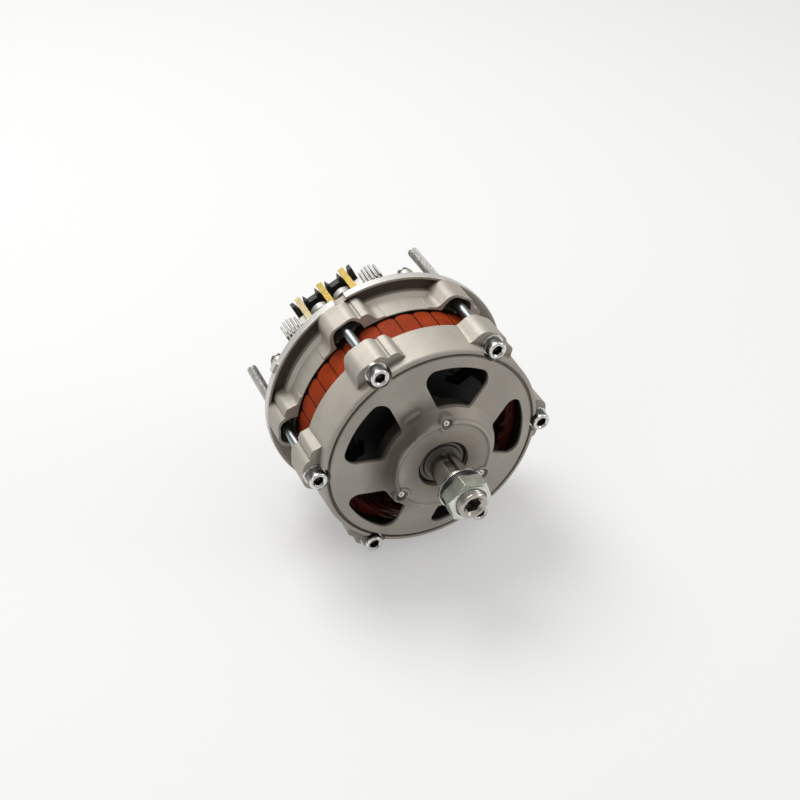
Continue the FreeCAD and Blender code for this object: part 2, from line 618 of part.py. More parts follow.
def claw_pole(sign):
    """Pole wheel: half core, thick disc and six tapering fingers. Sign -1 is the front wheel."""
    middle = (STATOR_FRONT_Y + STATOR_REAR_Y) / 2
    face = POLE_ROOT_Y
    disc_in = 9.0

    def y(d):
        return middle + sign * d

    outer = ROTOR_R + 2.5
    core = rod(CORE_R, min(y(0), y(disc_in)), max(y(0), y(disc_in)))
    disc = rod(ROTOR_R - 11.5, min(y(disc_in), y(face)), max(y(disc_in), y(face)))
    root = [(-12.6, ROTOR_R - 14.5), (12.6, ROTOR_R - 14.5), (12.6, outer), (-12.6, outer)]
    tip = [(-4.2, ROTOR_R - 2.9), (4.2, ROTOR_R - 2.9), (4.2, outer), (-4.2, outer)]
    mid_root = [(-12.0, ROTOR_R - 7.7), (12.0, ROTOR_R - 7.7), (12.0, outer), (-12.0, outer)]
    base = plate(root, min(y(disc_in), y(face)), max(y(disc_in), y(face)))
    wires = []
    for corners, d in ((mid_root, disc_in), (tip, -14.0)):
        wires.append(rounded_wire(corners, lambda x, z, d=d: V(x, y(d), z)))
    finger = Part.makeLoft(wires, True)
    chamfer = turned([
        (0, middle - 25), (ROTOR_R - 3, middle - 25), (ROTOR_R - 3, middle - face),
        (ROTOR_R, middle - face + 2.5), (ROTOR_R, middle + face - 2.5), (ROTOR_R - 3, middle + face),
        (ROTOR_R - 3, middle + 25), (0, middle + 25),
    ])
    arm = merged([base, finger]).common(chamfer)
    offset = 0 if sign < 0 else 180 / POLES
    arms = around(arm, [offset + 360 / POLES * k for k in range(POLES)])
    wheel = merged([core, disc] + arms)
    return wheel.cut(rod(9.0, -60, 0))


def coil_bobbin():
    """Insulating spool round the pole cores."""
    middle = (STATOR_FRONT_Y + STATOR_REAR_Y) / 2
    rim = ROTOR_R - 9.9
    half = 9.0
    wall = 1.1
    barrel = CORE_R + 1.2
    return turned([
        (CORE_R, middle - half), (rim, middle - half), (rim, middle - half + wall),
        (barrel, middle - half + wall), (barrel, middle + half - wall), (rim, middle + half - wall),
        (rim, middle + half), (CORE_R, middle + half),
    ])


def field_coil():
    """Field winding on the spool."""
    middle = (STATOR_FRONT_Y + STATOR_REAR_Y) / 2
    outer = ROTOR_R - 10.7
    inner = CORE_R + 1.2
    half = 7.9
    return turned([
        (inner, middle - half), (outer, middle - half, 1.0), (outer, middle + half, 1.0),
        (inner, middle + half),
    ])


def slip_ring_insulator():
    """Moulded sleeve that carries the slip rings, with a rib between them."""
    return turned([
        (5.0, 3.6), (6.6, 3.6), (6.6, 10.4), (8.4, 10.4, 0.2), (8.4, 12.6, 0.2), (6.6, 12.6), (6.6, 19.0),
        (5.0, 19.0),
    ])


def brush(y):
    """Carbon brush with its hollow end on a slip ring."""
    blank = box(-BRUSH_T / 2, BRUSH_T / 2, y - BRUSH_W / 2, y + BRUSH_W / 2, BRUSH_FAR_Z, -5.0)
    return blank.cut(rod(RING_R + BRUSH_GAP, y - 10, y + 10))


def brush_spring(y):
    """Round-wire compression spring behind a brush."""
    wire_r = 0.3
    coil_r = 1.9
    z0 = SPRING_FAR_Z + wire_r
    z1 = BRUSH_FAR_Z - wire_r
    helix = Part.makeHelix((z1 - z0) / 8, z1 - z0, coil_r)
    section = Part.Wire([Part.makeCircle(wire_r, V(coil_r, 0, 0), V(0, 1, 0))])
    coil = Part.Wire(helix).makePipeShell([section], True, True)
    coil.translate(V(0, y, z0))
    return coil


def brush_holder():
    """Moulded holder with a guide for each brush, on two ears."""
    x = 8.6
    y0 = 3.6
    y1 = 20.4
    body = box(-x, x, y0 + 0.4, y1, -42.0, -9.6)
    end = REGULATOR_SCREW_X + EAR_REACH
    high = REGULATOR_SCREW_Z + EAR_RISE
    low = high - EAR_DEPTH
    corners = [(-end, high, 4.0), (end, high, 4.0), (end, low, 4.0), (-end, low, 4.0)]
    ears = plate(corners, y0, y0 + 4.0)
    guard = plate([
        (-x, -42.0), (x, -42.0), (x, -14.0), (11.5, -9.6), (11.5, -2.0), (10.3, -2.0), (10.3, -9.6),
        (-10.3, -9.6), (-10.3, -2.0), (-11.5, -2.0), (-11.5, -9.6), (-x, -14.0),
    ], y0 + 0.4, y1)
    cuts = []
    for y in RING_YS:
        half_x = BRUSH_T / 2 + 0.05
        half_y = BRUSH_W / 2 + 0.05
        cuts.append(box(-half_x, half_x, y - half_y, y + half_y, SPRING_FAR_Z, -5.0))
    cuts += around(rod(2.3, 0, 20, 0, REGULATOR_SCREW_R), REGULATOR_CLOCKS)
    return merged([body, ears, guard]).cut(cuts)


def regulator_housing():
    """Finned can behind the brush holder."""
    can = plate([
        (-15.9, -27.0, 2.0), (15.9, -27.0, 2.0), (15.9, -56.0, 3.0), (-15.9, -56.0, 3.0),
    ], 20.4, 29.0)
    fins = [box(x - 0.8, x + 0.8, 28.0, 33.0, -43.5, -30.0) for x in (-12, -8, -4, 0, 4, 8, 12)]
    end = REGULATOR_SCREW_X + EAR_REACH - 1.0
    high = REGULATOR_SCREW_Z + EAR_RISE - 1.0
    low = high - EAR_DEPTH + 2.4
    ear = plate([(-end, high, 3.0), (end, high, 3.0), (end, low, 3.0), (-end, low, 3.0)], 20.4, 23.4)
    holes = around(rod(2.3, 10, 40, 0, REGULATOR_SCREW_R), REGULATOR_CLOCKS)
    return merged([can, ear] + fins).cut(holes)


def regulator_spacers():
    """Sleeves between the brush holder's ears and the regulator."""
    return Part.makeCompound(around(tube(2.3, 4.2, 7.6, 20.4, 0, REGULATOR_SCREW_R), REGULATOR_CLOCKS))


def regulator_screws():
    """Long screws through the regulator, sleeves and holder into the housing posts."""
    z = REGULATOR_SCREW_R
    shank = rod(SCREW_R, -3.0, 23.6, 0, z)
    head = rod(3.6, 23.4, 26.2, 0, z).cut(hexagon(3.0, 24.6, 27, 0, z))
    return Part.makeCompound(around(merged([shank, head]), REGULATOR_CLOCKS))


def heat_sink_ring(y0, y1, in_r, out_r):
    """Horseshoe plate of a heat sink in the rectifier's frame."""
    half = PLATE_HALF_ANGLE
    halves = [sector(in_r, out_r, y0, y1, -half, 0), sector(in_r, out_r, y0, y1, 0, half)]
    return merged(halves)


def negative_heat_sink():
    """Plate on the rear wall, notched for the phase leads."""
    y0, y1 = NEG_PLATE
    body = heat_sink_ring(y0, y1, PLATE_IN_R, REAR_INNER_R - 0.4)
    cuts = [box(u - 3.4, u + 3.4, y0 - 1, y1 + 1, LEAD_IN_V - 4.0, LEAD_OUT_V) for u in LEAD_US]
    for u, v in NEG_DIODES:
        cuts.append(rod(5.4, y0 - 1, y1 + 1, u, v))
    for offset, r in RECTIFIER_SCREWS:
        cuts.append(clocked(rod(2.3, y0 - 1, y1 + 1, 0, r), offset))
    return rectified(body.cut(cuts))


def positive_heat_sink():
    """Raised plate with a ribbed block at both ends and round seats for the diodes between the leads."""
    y0, y1 = POS_PLATE
    pieces = [heat_sink_ring(y0, y1, PLATE_IN_R + 1.0, PLATE_OUT_R)]
    pieces += [rod(6.3, y0, y1, u, v) for u, v in POS_DIODES[:2]]
    for side in (-1, 1):
        for u, top in zip(FIN_US, FIN_TOPS):
            fin = plate([
                (u - FIN_T / 2, FIN_IN_V), (u + FIN_T / 2, FIN_IN_V), (u + FIN_T / 2, FIN_OUT_V, 0.6),
                (u - FIN_T / 2, FIN_OUT_V, 0.6),
            ], FIN_Y0, top)
            pieces.append(fin if side > 0 else fin.mirror(ORIGIN, V(1, 0, 0)))
        low = min(side * FIN_US[0], side * FIN_US[-1])
        high = max(side * FIN_US[0], side * FIN_US[-1])
        pieces.append(box(low, high, FIN_Y0, FIN_TOPS[0] - 4.0, FIN_IN_V, FIN_OUT_V - 2.6))
        shoulder = min(side * 15.4, side * FIN_US[0])
        pieces.append(box(shoulder, shoulder + FIN_US[0] - 15.4, y0, y1 + 1.6, SHOULDER_V, FIN_OUT_V - 1.6))
        pieces.append(clocked(rod(4.6, y0, y1, 0, EAR_SCREW_R), side * EAR_SCREW_CLOCK))
    body = merged(pieces)
    cuts = [rod(5.2, y0 - 5, y1 + 5, u, v) for u, v in POS_DIODES]
    for side in (-1, 1):
        cuts.append(clocked(rod(2.0, y0 - 1, y1 + 1, 0, EAR_SCREW_R), side * EAR_SCREW_CLOCK))
    for offset, r in RECTIFIER_SCREWS:
        cuts.append(clocked(rod(3.4, y0 - 1, y1 + 1, 0, r), offset))
    cuts.append(rod(OUTPUT_R + 0.05, y0 - 1, y1 + 1, B_PLUS[0], B_PLUS[1]))
    return rectified(body.cut(cuts))


def diode(r, y0, y1, u, v, lead_y):
    """Press-fit diode: knurled cup with a glass bead and a lead."""
    up = 1 if lead_y > y1 else -1
    top = y1 if up > 0 else y0
    cup = rod(r, y0, y1, u, v)
    cap = rod(r * 0.62, min(top, top + up * 1.2), max(top, top + up * 1.2), u, v)
    lead = rod(0.8, min(top, lead_y), max(top, lead_y), u, v)
    return merged([cup, cap, lead])


def positive_diodes():
    """Three diodes in the positive heat sink."""
    y0, y1 = POS_PLATE
    found = [diode(5.2, y0 - 2.5, y1 + 2.0, u, v, y1 + 6.0) for u, v in POS_DIODES]
    return rectified(Part.makeCompound(found))


def negative_diodes():
    """Three diodes in the negative heat sink."""
    y0, y1 = NEG_PLATE
    found = [diode(5.4, y0, y1 + 2.2, u, v, y1 + 5.6) for u, v in NEG_DIODES]
    return rectified(Part.makeCompound(found))


def terminal_carrier():
    """Moulded comb with a pair of horns beside each phase lead and a triangle at each end."""
    y0 = 21.0
    y1 = 25.0
    end = 19.4
    low = LEAD_OUT_V - 5.2
    top = LEAD_OUT_V + 0.6
    horn = LEAD_OUT_V + 4.0
    floor = LEAD_OUT_V - 1.4
    corners = [(-end, low)]
    for i, u in enumerate(LEAD_US):
        left = (-end, horn) if i == 0 else (u - 4.6, top)
        right = (end, horn) if i == 2 else (u + 4.6, top)
        corners += [
            left, (u - 3.2, horn), (u - 1.9, top - 0.6), (u - 1.9, floor), (u + 1.9, floor),
            (u + 1.9, top - 0.6), (u + 3.2, horn), right,
        ]
    corners += [(end, low), (15.0, low - 3.5), (-15.0, low - 3.5)]
    body = plate(corners, y0, y1)
    back = plate([(-12.0, low - 15.2), (12.0, low - 15.2), (15.0, low - 3.0), (-15.0, low - 3.0)], y0, y0 + 2.4)
    feet = [rod(2.2, POS_PLATE[1], y0 + 1.0, u, low - 9.2) for u in (-10.5, 10.5)]
    cuts = [rod(2.0, y0 - 1, y1 + 1, u, v) for u, v in POS_DIODES[:2]]
    return rectified(merged([body, back] + feet).cut(cuts))


def phase_lead(u):
    """Flat terminal from the windings through the rear wall, stepped outwards, then straight back."""
    half = LEAD_T / 2
    points = [(LEAD_IN_V, -6.7), (LEAD_IN_V, 5.5), (LEAD_OUT_V, 9.5), (LEAD_OUT_V, LEAD_END_Y)]
    face = Part.Face(rounded_wire([
        (points[0][0] - half, points[0][1]), (points[1][0] - half, points[1][1] + 0.8, 2.0),
        (points[2][0] - half, points[2][1] + 0.8, 1.0), (points[3][0] - half, points[3][1]),
        (points[3][0] + half, points[3][1]), (points[2][0] + half, points[2][1] - 0.8, 2.0),
        (points[1][0] + half, points[1][1] - 0.8, 1.0), (points[0][0] + half, points[0][1]),
    ], lambda v, y: V(u - LEAD_W / 2, y, v)))
    return face.extrude(V(LEAD_W, 0, 0))


def phase_leads():
    """The three phase leads."""
    return rectified(Part.makeCompound([phase_lead(u) for u in LEAD_US]))


def lead_grommet():
    """Rubber bush round the middle lead in the rear wall."""
    y0 = -REAR_WALL_T
    outer = rod(4.2, y0, REAR_FACE_Y, 0, LEAD_IN_V)
    lip = rod(4.8, y0 - 1.0, y0, 0, LEAD_IN_V)
    half_u = LEAD_W / 2 + 0.02
    half_v = LEAD_T / 2 + 0.02
    hole = box(-half_u, half_u, -10, 5, LEAD_IN_V - half_v, LEAD_IN_V + half_v)
    return rectified(merged([outer, lip]).cut(hole))


def rectifier_insulators():
    """Spacers between the two heat sinks and collared washers under the screw heads."""
    found = []
    for offset, r in RECTIFIER_SCREWS:
        spacer = tube(2.1, 4.6, NEG_PLATE[1], POS_PLATE[0], 0, r)
        sleeve = tube(2.1, 3.35, POS_PLATE[0], POS_PLATE[1], 0, r)
        collar = tube(2.1, 4.6, POS_PLATE[1], POS_PLATE[1] + 1.4, 0, r)
        found.append(clocked(merged([spacer, sleeve, collar]), offset))
    return rectified(Part.makeCompound(found))


def rectifier_screws():
    """Screws that hold both heat sinks to the rear wall."""
    found = []
    top = POS_PLATE[1] + 1.4
    for offset, r in RECTIFIER_SCREWS:
        shank = rod(SCREW_R, -3.2, top + 0.2, 0, r)
        head = rod(3.6, top, top + 2.6, 0, r).cut(hexagon(3.0, top + 1.2, top + 4, 0, r))
        found.append(clocked(merged([shank, head]), offset))
    return rectified(Part.makeCompound(found))


def ear_screws():
    """Small screws in the two outer ears of the positive heat sink."""
    y0, y1 = POS_PLATE
    z = EAR_SCREW_R
    shank = rod(SCREW_R, y0 - 3.0, y1 + 1.8, 0, z)
    head = rod(3.4, y1 + 1.6, y1 + 3.8, 0, z).cut(hexagon(2.5, y1 + 2.6, y1 + 6, 0, z))
    screw = merged([shank, head])
    return rectified(Part.makeCompound(around(screw, (-EAR_SCREW_CLOCK, EAR_SCREW_CLOCK))))


def ear_bushes():
    """Black collars under the ear screws' heads."""
    y1 = POS_PLATE[1]
    ring = tube(2.05, 4.2, y1, y1 + 1.6, 0, EAR_SCREW_R)
    return rectified(Part.makeCompound(around(ring, (-EAR_SCREW_CLOCK, EAR_SCREW_CLOCK))))


def b_plus_stud():
    """Main output stud on the positive heat sink."""
    u, v = B_PLUS
    y0, y1 = POS_PLATE
    head = hexagon(12.0, y0 - 3.5, y0, u, v)
    seat = rod(OUTPUT_SEAT_R, y0 - 0.5, y1 + 6.2, u, v)
    body = rod(OUTPUT_R, y1 + 6.2, 35.0, u, v)
    tip = cone(OUTPUT_R, OUTPUT_R - 0.8, 35.0, 36.0, u, v)
    return rectified(merged([head, seat, body, tip]))


def b_plus_nut():
    """Nut and washer that hold the output stud on the heat sink."""
    u, v = B_PLUS
    y1 = POS_PLATE[1]
    washer = tube(OUTPUT_R + 0.2, 7.2, y1, y1 + 1.2, u, v)
    nut = hexagon(12.0, y1 + 1.2, y1 + 6.2, u, v).cut(rod(OUTPUT_SEAT_R + 0.02, 0, 50, u, v))
    return rectified(Part.makeCompound([washer, nut]))


def w_terminal():
    """Push-on blade on the comb for the speed signal."""
    v = LEAD_OUT_V - 15.8
    blade = box(-3.15, 3.15, 23.4, 34.0, v, v + 0.8)
    foot = box(-3.15, 3.15, 23.4, 24.2, v, v + 5.4)
    return rectified(merged([blade, foot]))


def d_plus_terminal():
    """Threaded field terminal on the regulator, with its nut."""
    stud = rod(2.45, 29.0, 40.0, 0, -49.0)
    collar = rod(4.5, 29.0, 33.4, 0, -49.0)
    return merged([stud, collar])


def suppression_capacitor():
    """Round can held by a strap and ear on the rear wall."""
    x, z = CAPACITOR_PLACE
    can = rod(CAPACITOR_R, 3.0, 30.0, x, z)
    rims = [edge for edge in can.Edges if edge.Length > 20]
    return can.makeFillet(1.2, rims)


def capacitor_clamp():
    """Strap round the capacitor with an ear screwed to the rear wall."""
    x, z = CAPACITOR_PLACE
    ring = tube(CAPACITOR_R, CAPACITOR_R + 1.2, 8.0, 16.0, x, z)
    clock, r = CAPACITOR_SCREW
    ear_x = r * math.sin(math.radians(clock))
    ear_z = r * math.cos(math.radians(clock))
    length = math.hypot(ear_x - x, ear_z - z)
    angle = math.degrees(math.atan2(ear_x - x, ear_z - z))
    near = CAPACITOR_R + 0.4
    arm = box(-4.5, 4.5, 3.6, 5.2, near, length + 4.5)
    riser = box(-4.5, 4.5, 3.6, 16.0, near, near + 1.4)
    bracket = merged([arm, riser]).cut(rod(2.2, 0, 20, 0, length))
    bracket.rotate(ORIGIN, AXIS, angle)
    bracket.translate(V(x, 0, z))
    return merged([ring, bracket.cut(rod(CAPACITOR_R, 0, 40, x, z))])


def capacitor_screw():
    """Screw of the capacitor's ear."""
    clock, r = CAPACITOR_SCREW
    shank = rod(SCREW_R, -2.8, 5.4, 0, r)
    head = rod(3.6, 5.2, 7.8, 0, r).cut(hexagon(3.0, 6.4, 9, 0, r))
    return clocked(merged([shank, head]), clock)


def export(name, shape):
    """Write one node."""
    shape.exportStep("parts/" + name + ".step")


def main():
    """Build every node."""
    os.makedirs("parts", exist_ok=True)
    front_outer, front_inner, front_balls, front_cage, front_seals = ball_bearing(FRONT_BEARING)
    rear_outer, rear_inner, rear_balls, rear_cage, rear_seals = ball_bearing(REAR_BEARING)
    plain = [clock for clock in BOLT_CLOCKS if clock not in STUD_CLOCKS]
    half_ring = RING_W / 2
    washer_y = SHOULDER_Y
    nodes = {
        "drive_end_housing": drive_end_housing(),
        "slip_ring_end_housing": slip_ring_end_housing(),
        "stator_core": stator_core(),
        "front_end_windings": end_turns(STATOR_FRONT_Y, -1, 10.5),
        "rear_end_windings": end_turns(STATOR_REAR_Y, 1, 9.0),
        "slot_windings": Part.makeCompound(around(slot_bundle(), slot_clocks())),
        "slot_liners": slot_liners(),
        "through_bolts": Part.makeCompound(around(through_bolt(BOLT_END_Y), plain)),
        "cover_stud_bolts": Part.makeCompound(around(through_bolt(STUD_END_Y), STUD_CLOCKS)),
        "through_bolt_washers": bolt_washers(),
        "bearing_retainer_plate": retainer_plate(),
        "bearing_retainer_screws": retainer_screws(),
        "front_bearing_outer_ring": front_outer,
        "front_bearing_inner_ring": front_inner,
        "front_bearing_balls": front_balls,
        "front_bearing_cage": front_cage,
        "front_bearing_seals": front_seals,
        "rear_bearing_outer_ring": rear_outer,
        "rear_bearing_inner_ring": rear_inner,
        "rear_bearing_balls": rear_balls,
        "rear_bearing_cage": rear_cage,
        "rear_bearing_seals": rear_seals,
        "rotor_shaft": rotor_shaft(),
        "shaft_thrust_collar": thrust_collar(),
        "shaft_plain_washer": tube(8.15, 12.4, washer_y - PLAIN_WASHER_T, washer_y),
        "shaft_spring_washer": spring_washer(),
        "shaft_nut": shaft_nut(),
        "front_claw_pole": claw_pole(-1),
        "rear_claw_pole": claw_pole(1),
        "coil_bobbin": coil_bobbin(),
        "field_coil": field_coil(),
        "slip_ring_insulator": slip_ring_insulator(),
        "slip_rings": Part.makeCompound([tube(6.6, RING_R, y - half_ring, y + half_ring) for y in RING_YS]),
        "brush_front": brush(RING_YS[0]),
        "brush_rear": brush(RING_YS[1]),
        "brush_spring_front": brush_spring(RING_YS[0]),
        "brush_spring_rear": brush_spring(RING_YS[1]),
        "brush_holder": brush_holder(),
        "regulator_housing": regulator_housing(),
        "regulator_spacers": regulator_spacers(),
        "regulator_screws": regulator_screws(),
        "negative_heat_sink": negative_heat_sink(),
        "positive_heat_sink": positive_heat_sink(),
        "negative_diodes": negative_diodes(),
        "positive_diodes": positive_diodes(),
        "terminal_carrier": terminal_carrier(),
        "phase_leads": phase_leads(),
        "phase_lead_grommet": lead_grommet(),
        "rectifier_insulators": rectifier_insulators(),
        "rectifier_screws": rectifier_screws(),
        "rectifier_ear_screws": ear_screws(),
        "rectifier_ear_bushes": ear_bushes(),
        "output_stud": b_plus_stud(),
        "output_stud_nut": b_plus_nut(),
        "speed_signal_blade": w_terminal(),
        "field_terminal": d_plus_terminal(),
        "suppression_capacitor": suppression_capacitor(),
        "capacitor_clamp": capacitor_clamp(),
        "capacitor_screw": capacitor_screw(),
    }
    for name, shape in nodes.items():
        export(name, shape)


main()
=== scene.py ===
"""Looks of a flange-mounted alternator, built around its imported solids. Metres, in the solids' own frame."""
import json
import math

import bpy
import numpy as np
from bpy.props import FloatProperty, FloatVectorProperty, IntProperty, PointerProperty
from mathutils import Matrix, Vector


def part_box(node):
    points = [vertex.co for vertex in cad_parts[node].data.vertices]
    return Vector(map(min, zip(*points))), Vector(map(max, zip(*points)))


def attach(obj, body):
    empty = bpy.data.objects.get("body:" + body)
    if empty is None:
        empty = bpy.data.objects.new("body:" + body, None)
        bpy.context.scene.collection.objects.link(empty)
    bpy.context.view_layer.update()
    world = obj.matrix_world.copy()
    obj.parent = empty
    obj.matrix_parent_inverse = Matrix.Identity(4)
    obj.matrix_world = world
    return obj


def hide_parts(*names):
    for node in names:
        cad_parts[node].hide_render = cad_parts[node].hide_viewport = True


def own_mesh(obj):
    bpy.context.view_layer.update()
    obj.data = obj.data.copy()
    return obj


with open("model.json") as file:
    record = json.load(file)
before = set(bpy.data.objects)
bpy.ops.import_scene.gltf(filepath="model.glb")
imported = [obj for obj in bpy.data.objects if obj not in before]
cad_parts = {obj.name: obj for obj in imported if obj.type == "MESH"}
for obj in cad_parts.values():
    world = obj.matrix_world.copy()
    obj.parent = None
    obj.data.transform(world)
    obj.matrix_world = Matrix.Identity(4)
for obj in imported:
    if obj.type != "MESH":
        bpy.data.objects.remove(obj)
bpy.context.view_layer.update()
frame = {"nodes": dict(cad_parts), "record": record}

bl_info = {
    "name": "Alternator looks",
    "version": (1, 0, 0),
    "blender": (4, 5, 0),
    "location": "View3D > Sidebar > Alternator",
    "description": "Wound, threaded and finished pieces of an alternator around its packed solids",
    "category": "Object",
}

MM = 0.001

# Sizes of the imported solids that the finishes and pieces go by, in millimetres and degrees
RECTIFIER_CLOCK = -27.5
BOLT_CIRCLE_R = 65.0
WALL_INSIDE_R = 57.9
HUB_BEAD_R = 26.9
FACE_SLOPE = 0.252
FACE_MIDDLE_Y = -77.7
CHANNEL_IN_R = 63.3
CHANNEL_OUT_R = 69.2
FLANGE_RIM_R = 70.65
STUD_FOOT_Y = -3.0
BOLT_HEAD_Y = -58.8
BOLT_CROWN_Y = -63.7
SLOTS = 36
SLOT_STEP = 360.0 / SLOTS
GROOVE_CLOCK = 3.4
SLOT_MOUTH_Y = (-45.0, -16.0)
OUTPUT_STUD_PLACE = (-29.5, 24.5)
FIELD_TERMINAL_R = 49.0
CAPACITOR_PLACE = (-44.0, -29.0)
POSITIVE_DIODE_PLACES = ((-7.2, 55.2), (7.2, 55.2), (22.5, 40.0))
NEGATIVE_DIODE_PLACES = ((-25.5, 36.0), (-13.0, 37.0), (25.5, 36.0))
SPRING_FOOT_Z = -38.0
SPRING_LENGTH = 15.98
SHARP_ANGLE = 38.0


# Sizes and colours that a user would change

def colour(name, words, value):
    """A colour property."""
    return FloatVectorProperty(name=name, description=words, subtype="COLOR", size=3, min=0, max=1,
                               default=value)


def length(name, words, value):
    """A length property in metres."""
    return FloatProperty(name=name, description=words, subtype="DISTANCE", unit="LENGTH", precision=5,
                         default=value)


def factor(name, words, value, high=1.0):
    """A plain number between nought and a highest value."""
    return FloatProperty(name=name, description=words, subtype="FACTOR", min=0, max=high, default=value)


class FinishSettings(bpy.types.PropertyGroup):
    """Colours and gloss of the finishes, and the colours of their painted shade."""
    casting: colour("Casting", "Blasted light-alloy casting", (0.425, 0.398, 0.346))
    casting_roughness: factor("Casting roughness", "Roughness of the blasted castings", 0.55)
    # Painted shade: the dark colour laid in the castings' hollows, inside them, round the hub and in the flange's
    # channels
    painted_shade: colour("Painted_shade", "Dark film in the castings' hollows", (0.055, 0.042, 0.030))
    # Brown colour laid over the front hub, strongest towards its bore
    hub_darkening: colour("Hub stain", "Brown stain on the front hub", (0.12, 0.088, 0.062))
    # Painted shade on the floor of the flange's channels
    channel_shade: colour("Channel stain", "Brown stain in the flange's channels", (0.085, 0.060, 0.038))
    machined: colour("Machined rim", "Turned rim of the flange", (0.66, 0.65, 0.63))
    stator_varnish: colour("Stator varnish", "Red varnish on the stator's outside", (0.25, 0.031, 0.006))
    winding_varnish: colour("Winding varnish", "Dark red varnish on the windings", (0.10, 0.009, 0.006))
    zinc: colour("Zinc", "Bright plating of bolts and washers", (0.72, 0.71, 0.68))
    shank_zinc: colour("Shank plating", "Bluish plating of the bolts' shanks", (0.36, 0.40, 0.42))
    stud_zinc: colour("Stud plating", "Greyish plating of the long studs", (0.66, 0.65, 0.62))
    nut_zinc: colour("Nut plating", "Greenish plating of the shaft nut", (0.66, 0.69, 0.60))
    steel: colour("Turned steel", "Shaft and collar", (0.46, 0.43, 0.39))
    brass: colour("Lead brass", "Phase leads", (0.40, 0.285, 0.075))
    tinned: colour("Tinned lead", "The leftmost phase lead", (0.44, 0.37, 0.22))
    heat_sink: colour("Heat sink", "Dull light alloy of the heat sinks", (0.46, 0.455, 0.42))
    moulding: colour("Black moulding", "Terminal comb, holders and sleeves", (0.014, 0.014, 0.014))


class WindingSettings(bpy.types.PropertyGroup):
    """Wire of the stator and the field coil."""
    wire: length("Wire", "Diameter of one enamelled wire", 1.15 * MM)
    wires: IntProperty(name="Wires", description="Wires in each slot's bundle", min=2, max=12, default=7)
    seed: IntProperty(name="Seed", description="Seed of the small differences between the wires", default=4)


class ThreadSettings(bpy.types.PropertyGroup):
    """Screw threads of the through bolts and the terminals."""
    pitch: length("Pitch", "Distance between two turns", 1.0 * MM)
    depth: length("Depth", "Depth of the groove between two turns", 0.52 * MM)


class StudioSettings(bpy.types.PropertyGroup):
    """Camera, lamps and floor."""
    focal_length: FloatProperty(name="Focal length", description="Millimetres on a 36 mm sensor", default=56.125)
    eye: FloatVectorProperty(name="Eye", description="Place of the camera", subtype="XYZ", unit="LENGTH",
                             default=(-0.238300, -0.507876, 0.422505))
    heading: FloatProperty(name="Heading", description="Direction of view, clockwise from +Y", subtype="ANGLE",
                           default=math.radians(26.0623))
    dip: FloatProperty(name="Dip", description="Angle of the view below level", subtype="ANGLE",
                       default=math.radians(37.7581))
    roll: FloatProperty(name="Roll", description="Turn about the line of sight", subtype="ANGLE",
                        default=math.radians(2.7691))
    floor: length("Floor", "Height of the floor", -74.0 * MM)
    key: FloatProperty(name="Key", description="Strength of the large lamp above", unit="POWER", default=17.5)
    fill: FloatProperty(name="Fill", description="Strength of the lamps at the sides", unit="POWER", default=2.4)
    sky: factor("Sky", "Strength of the soft light from overhead", 0.85, 2.0)
    horizon: factor("Horizon", "Strength of the soft light from the sides", 0.19, 2.0)


# Materials

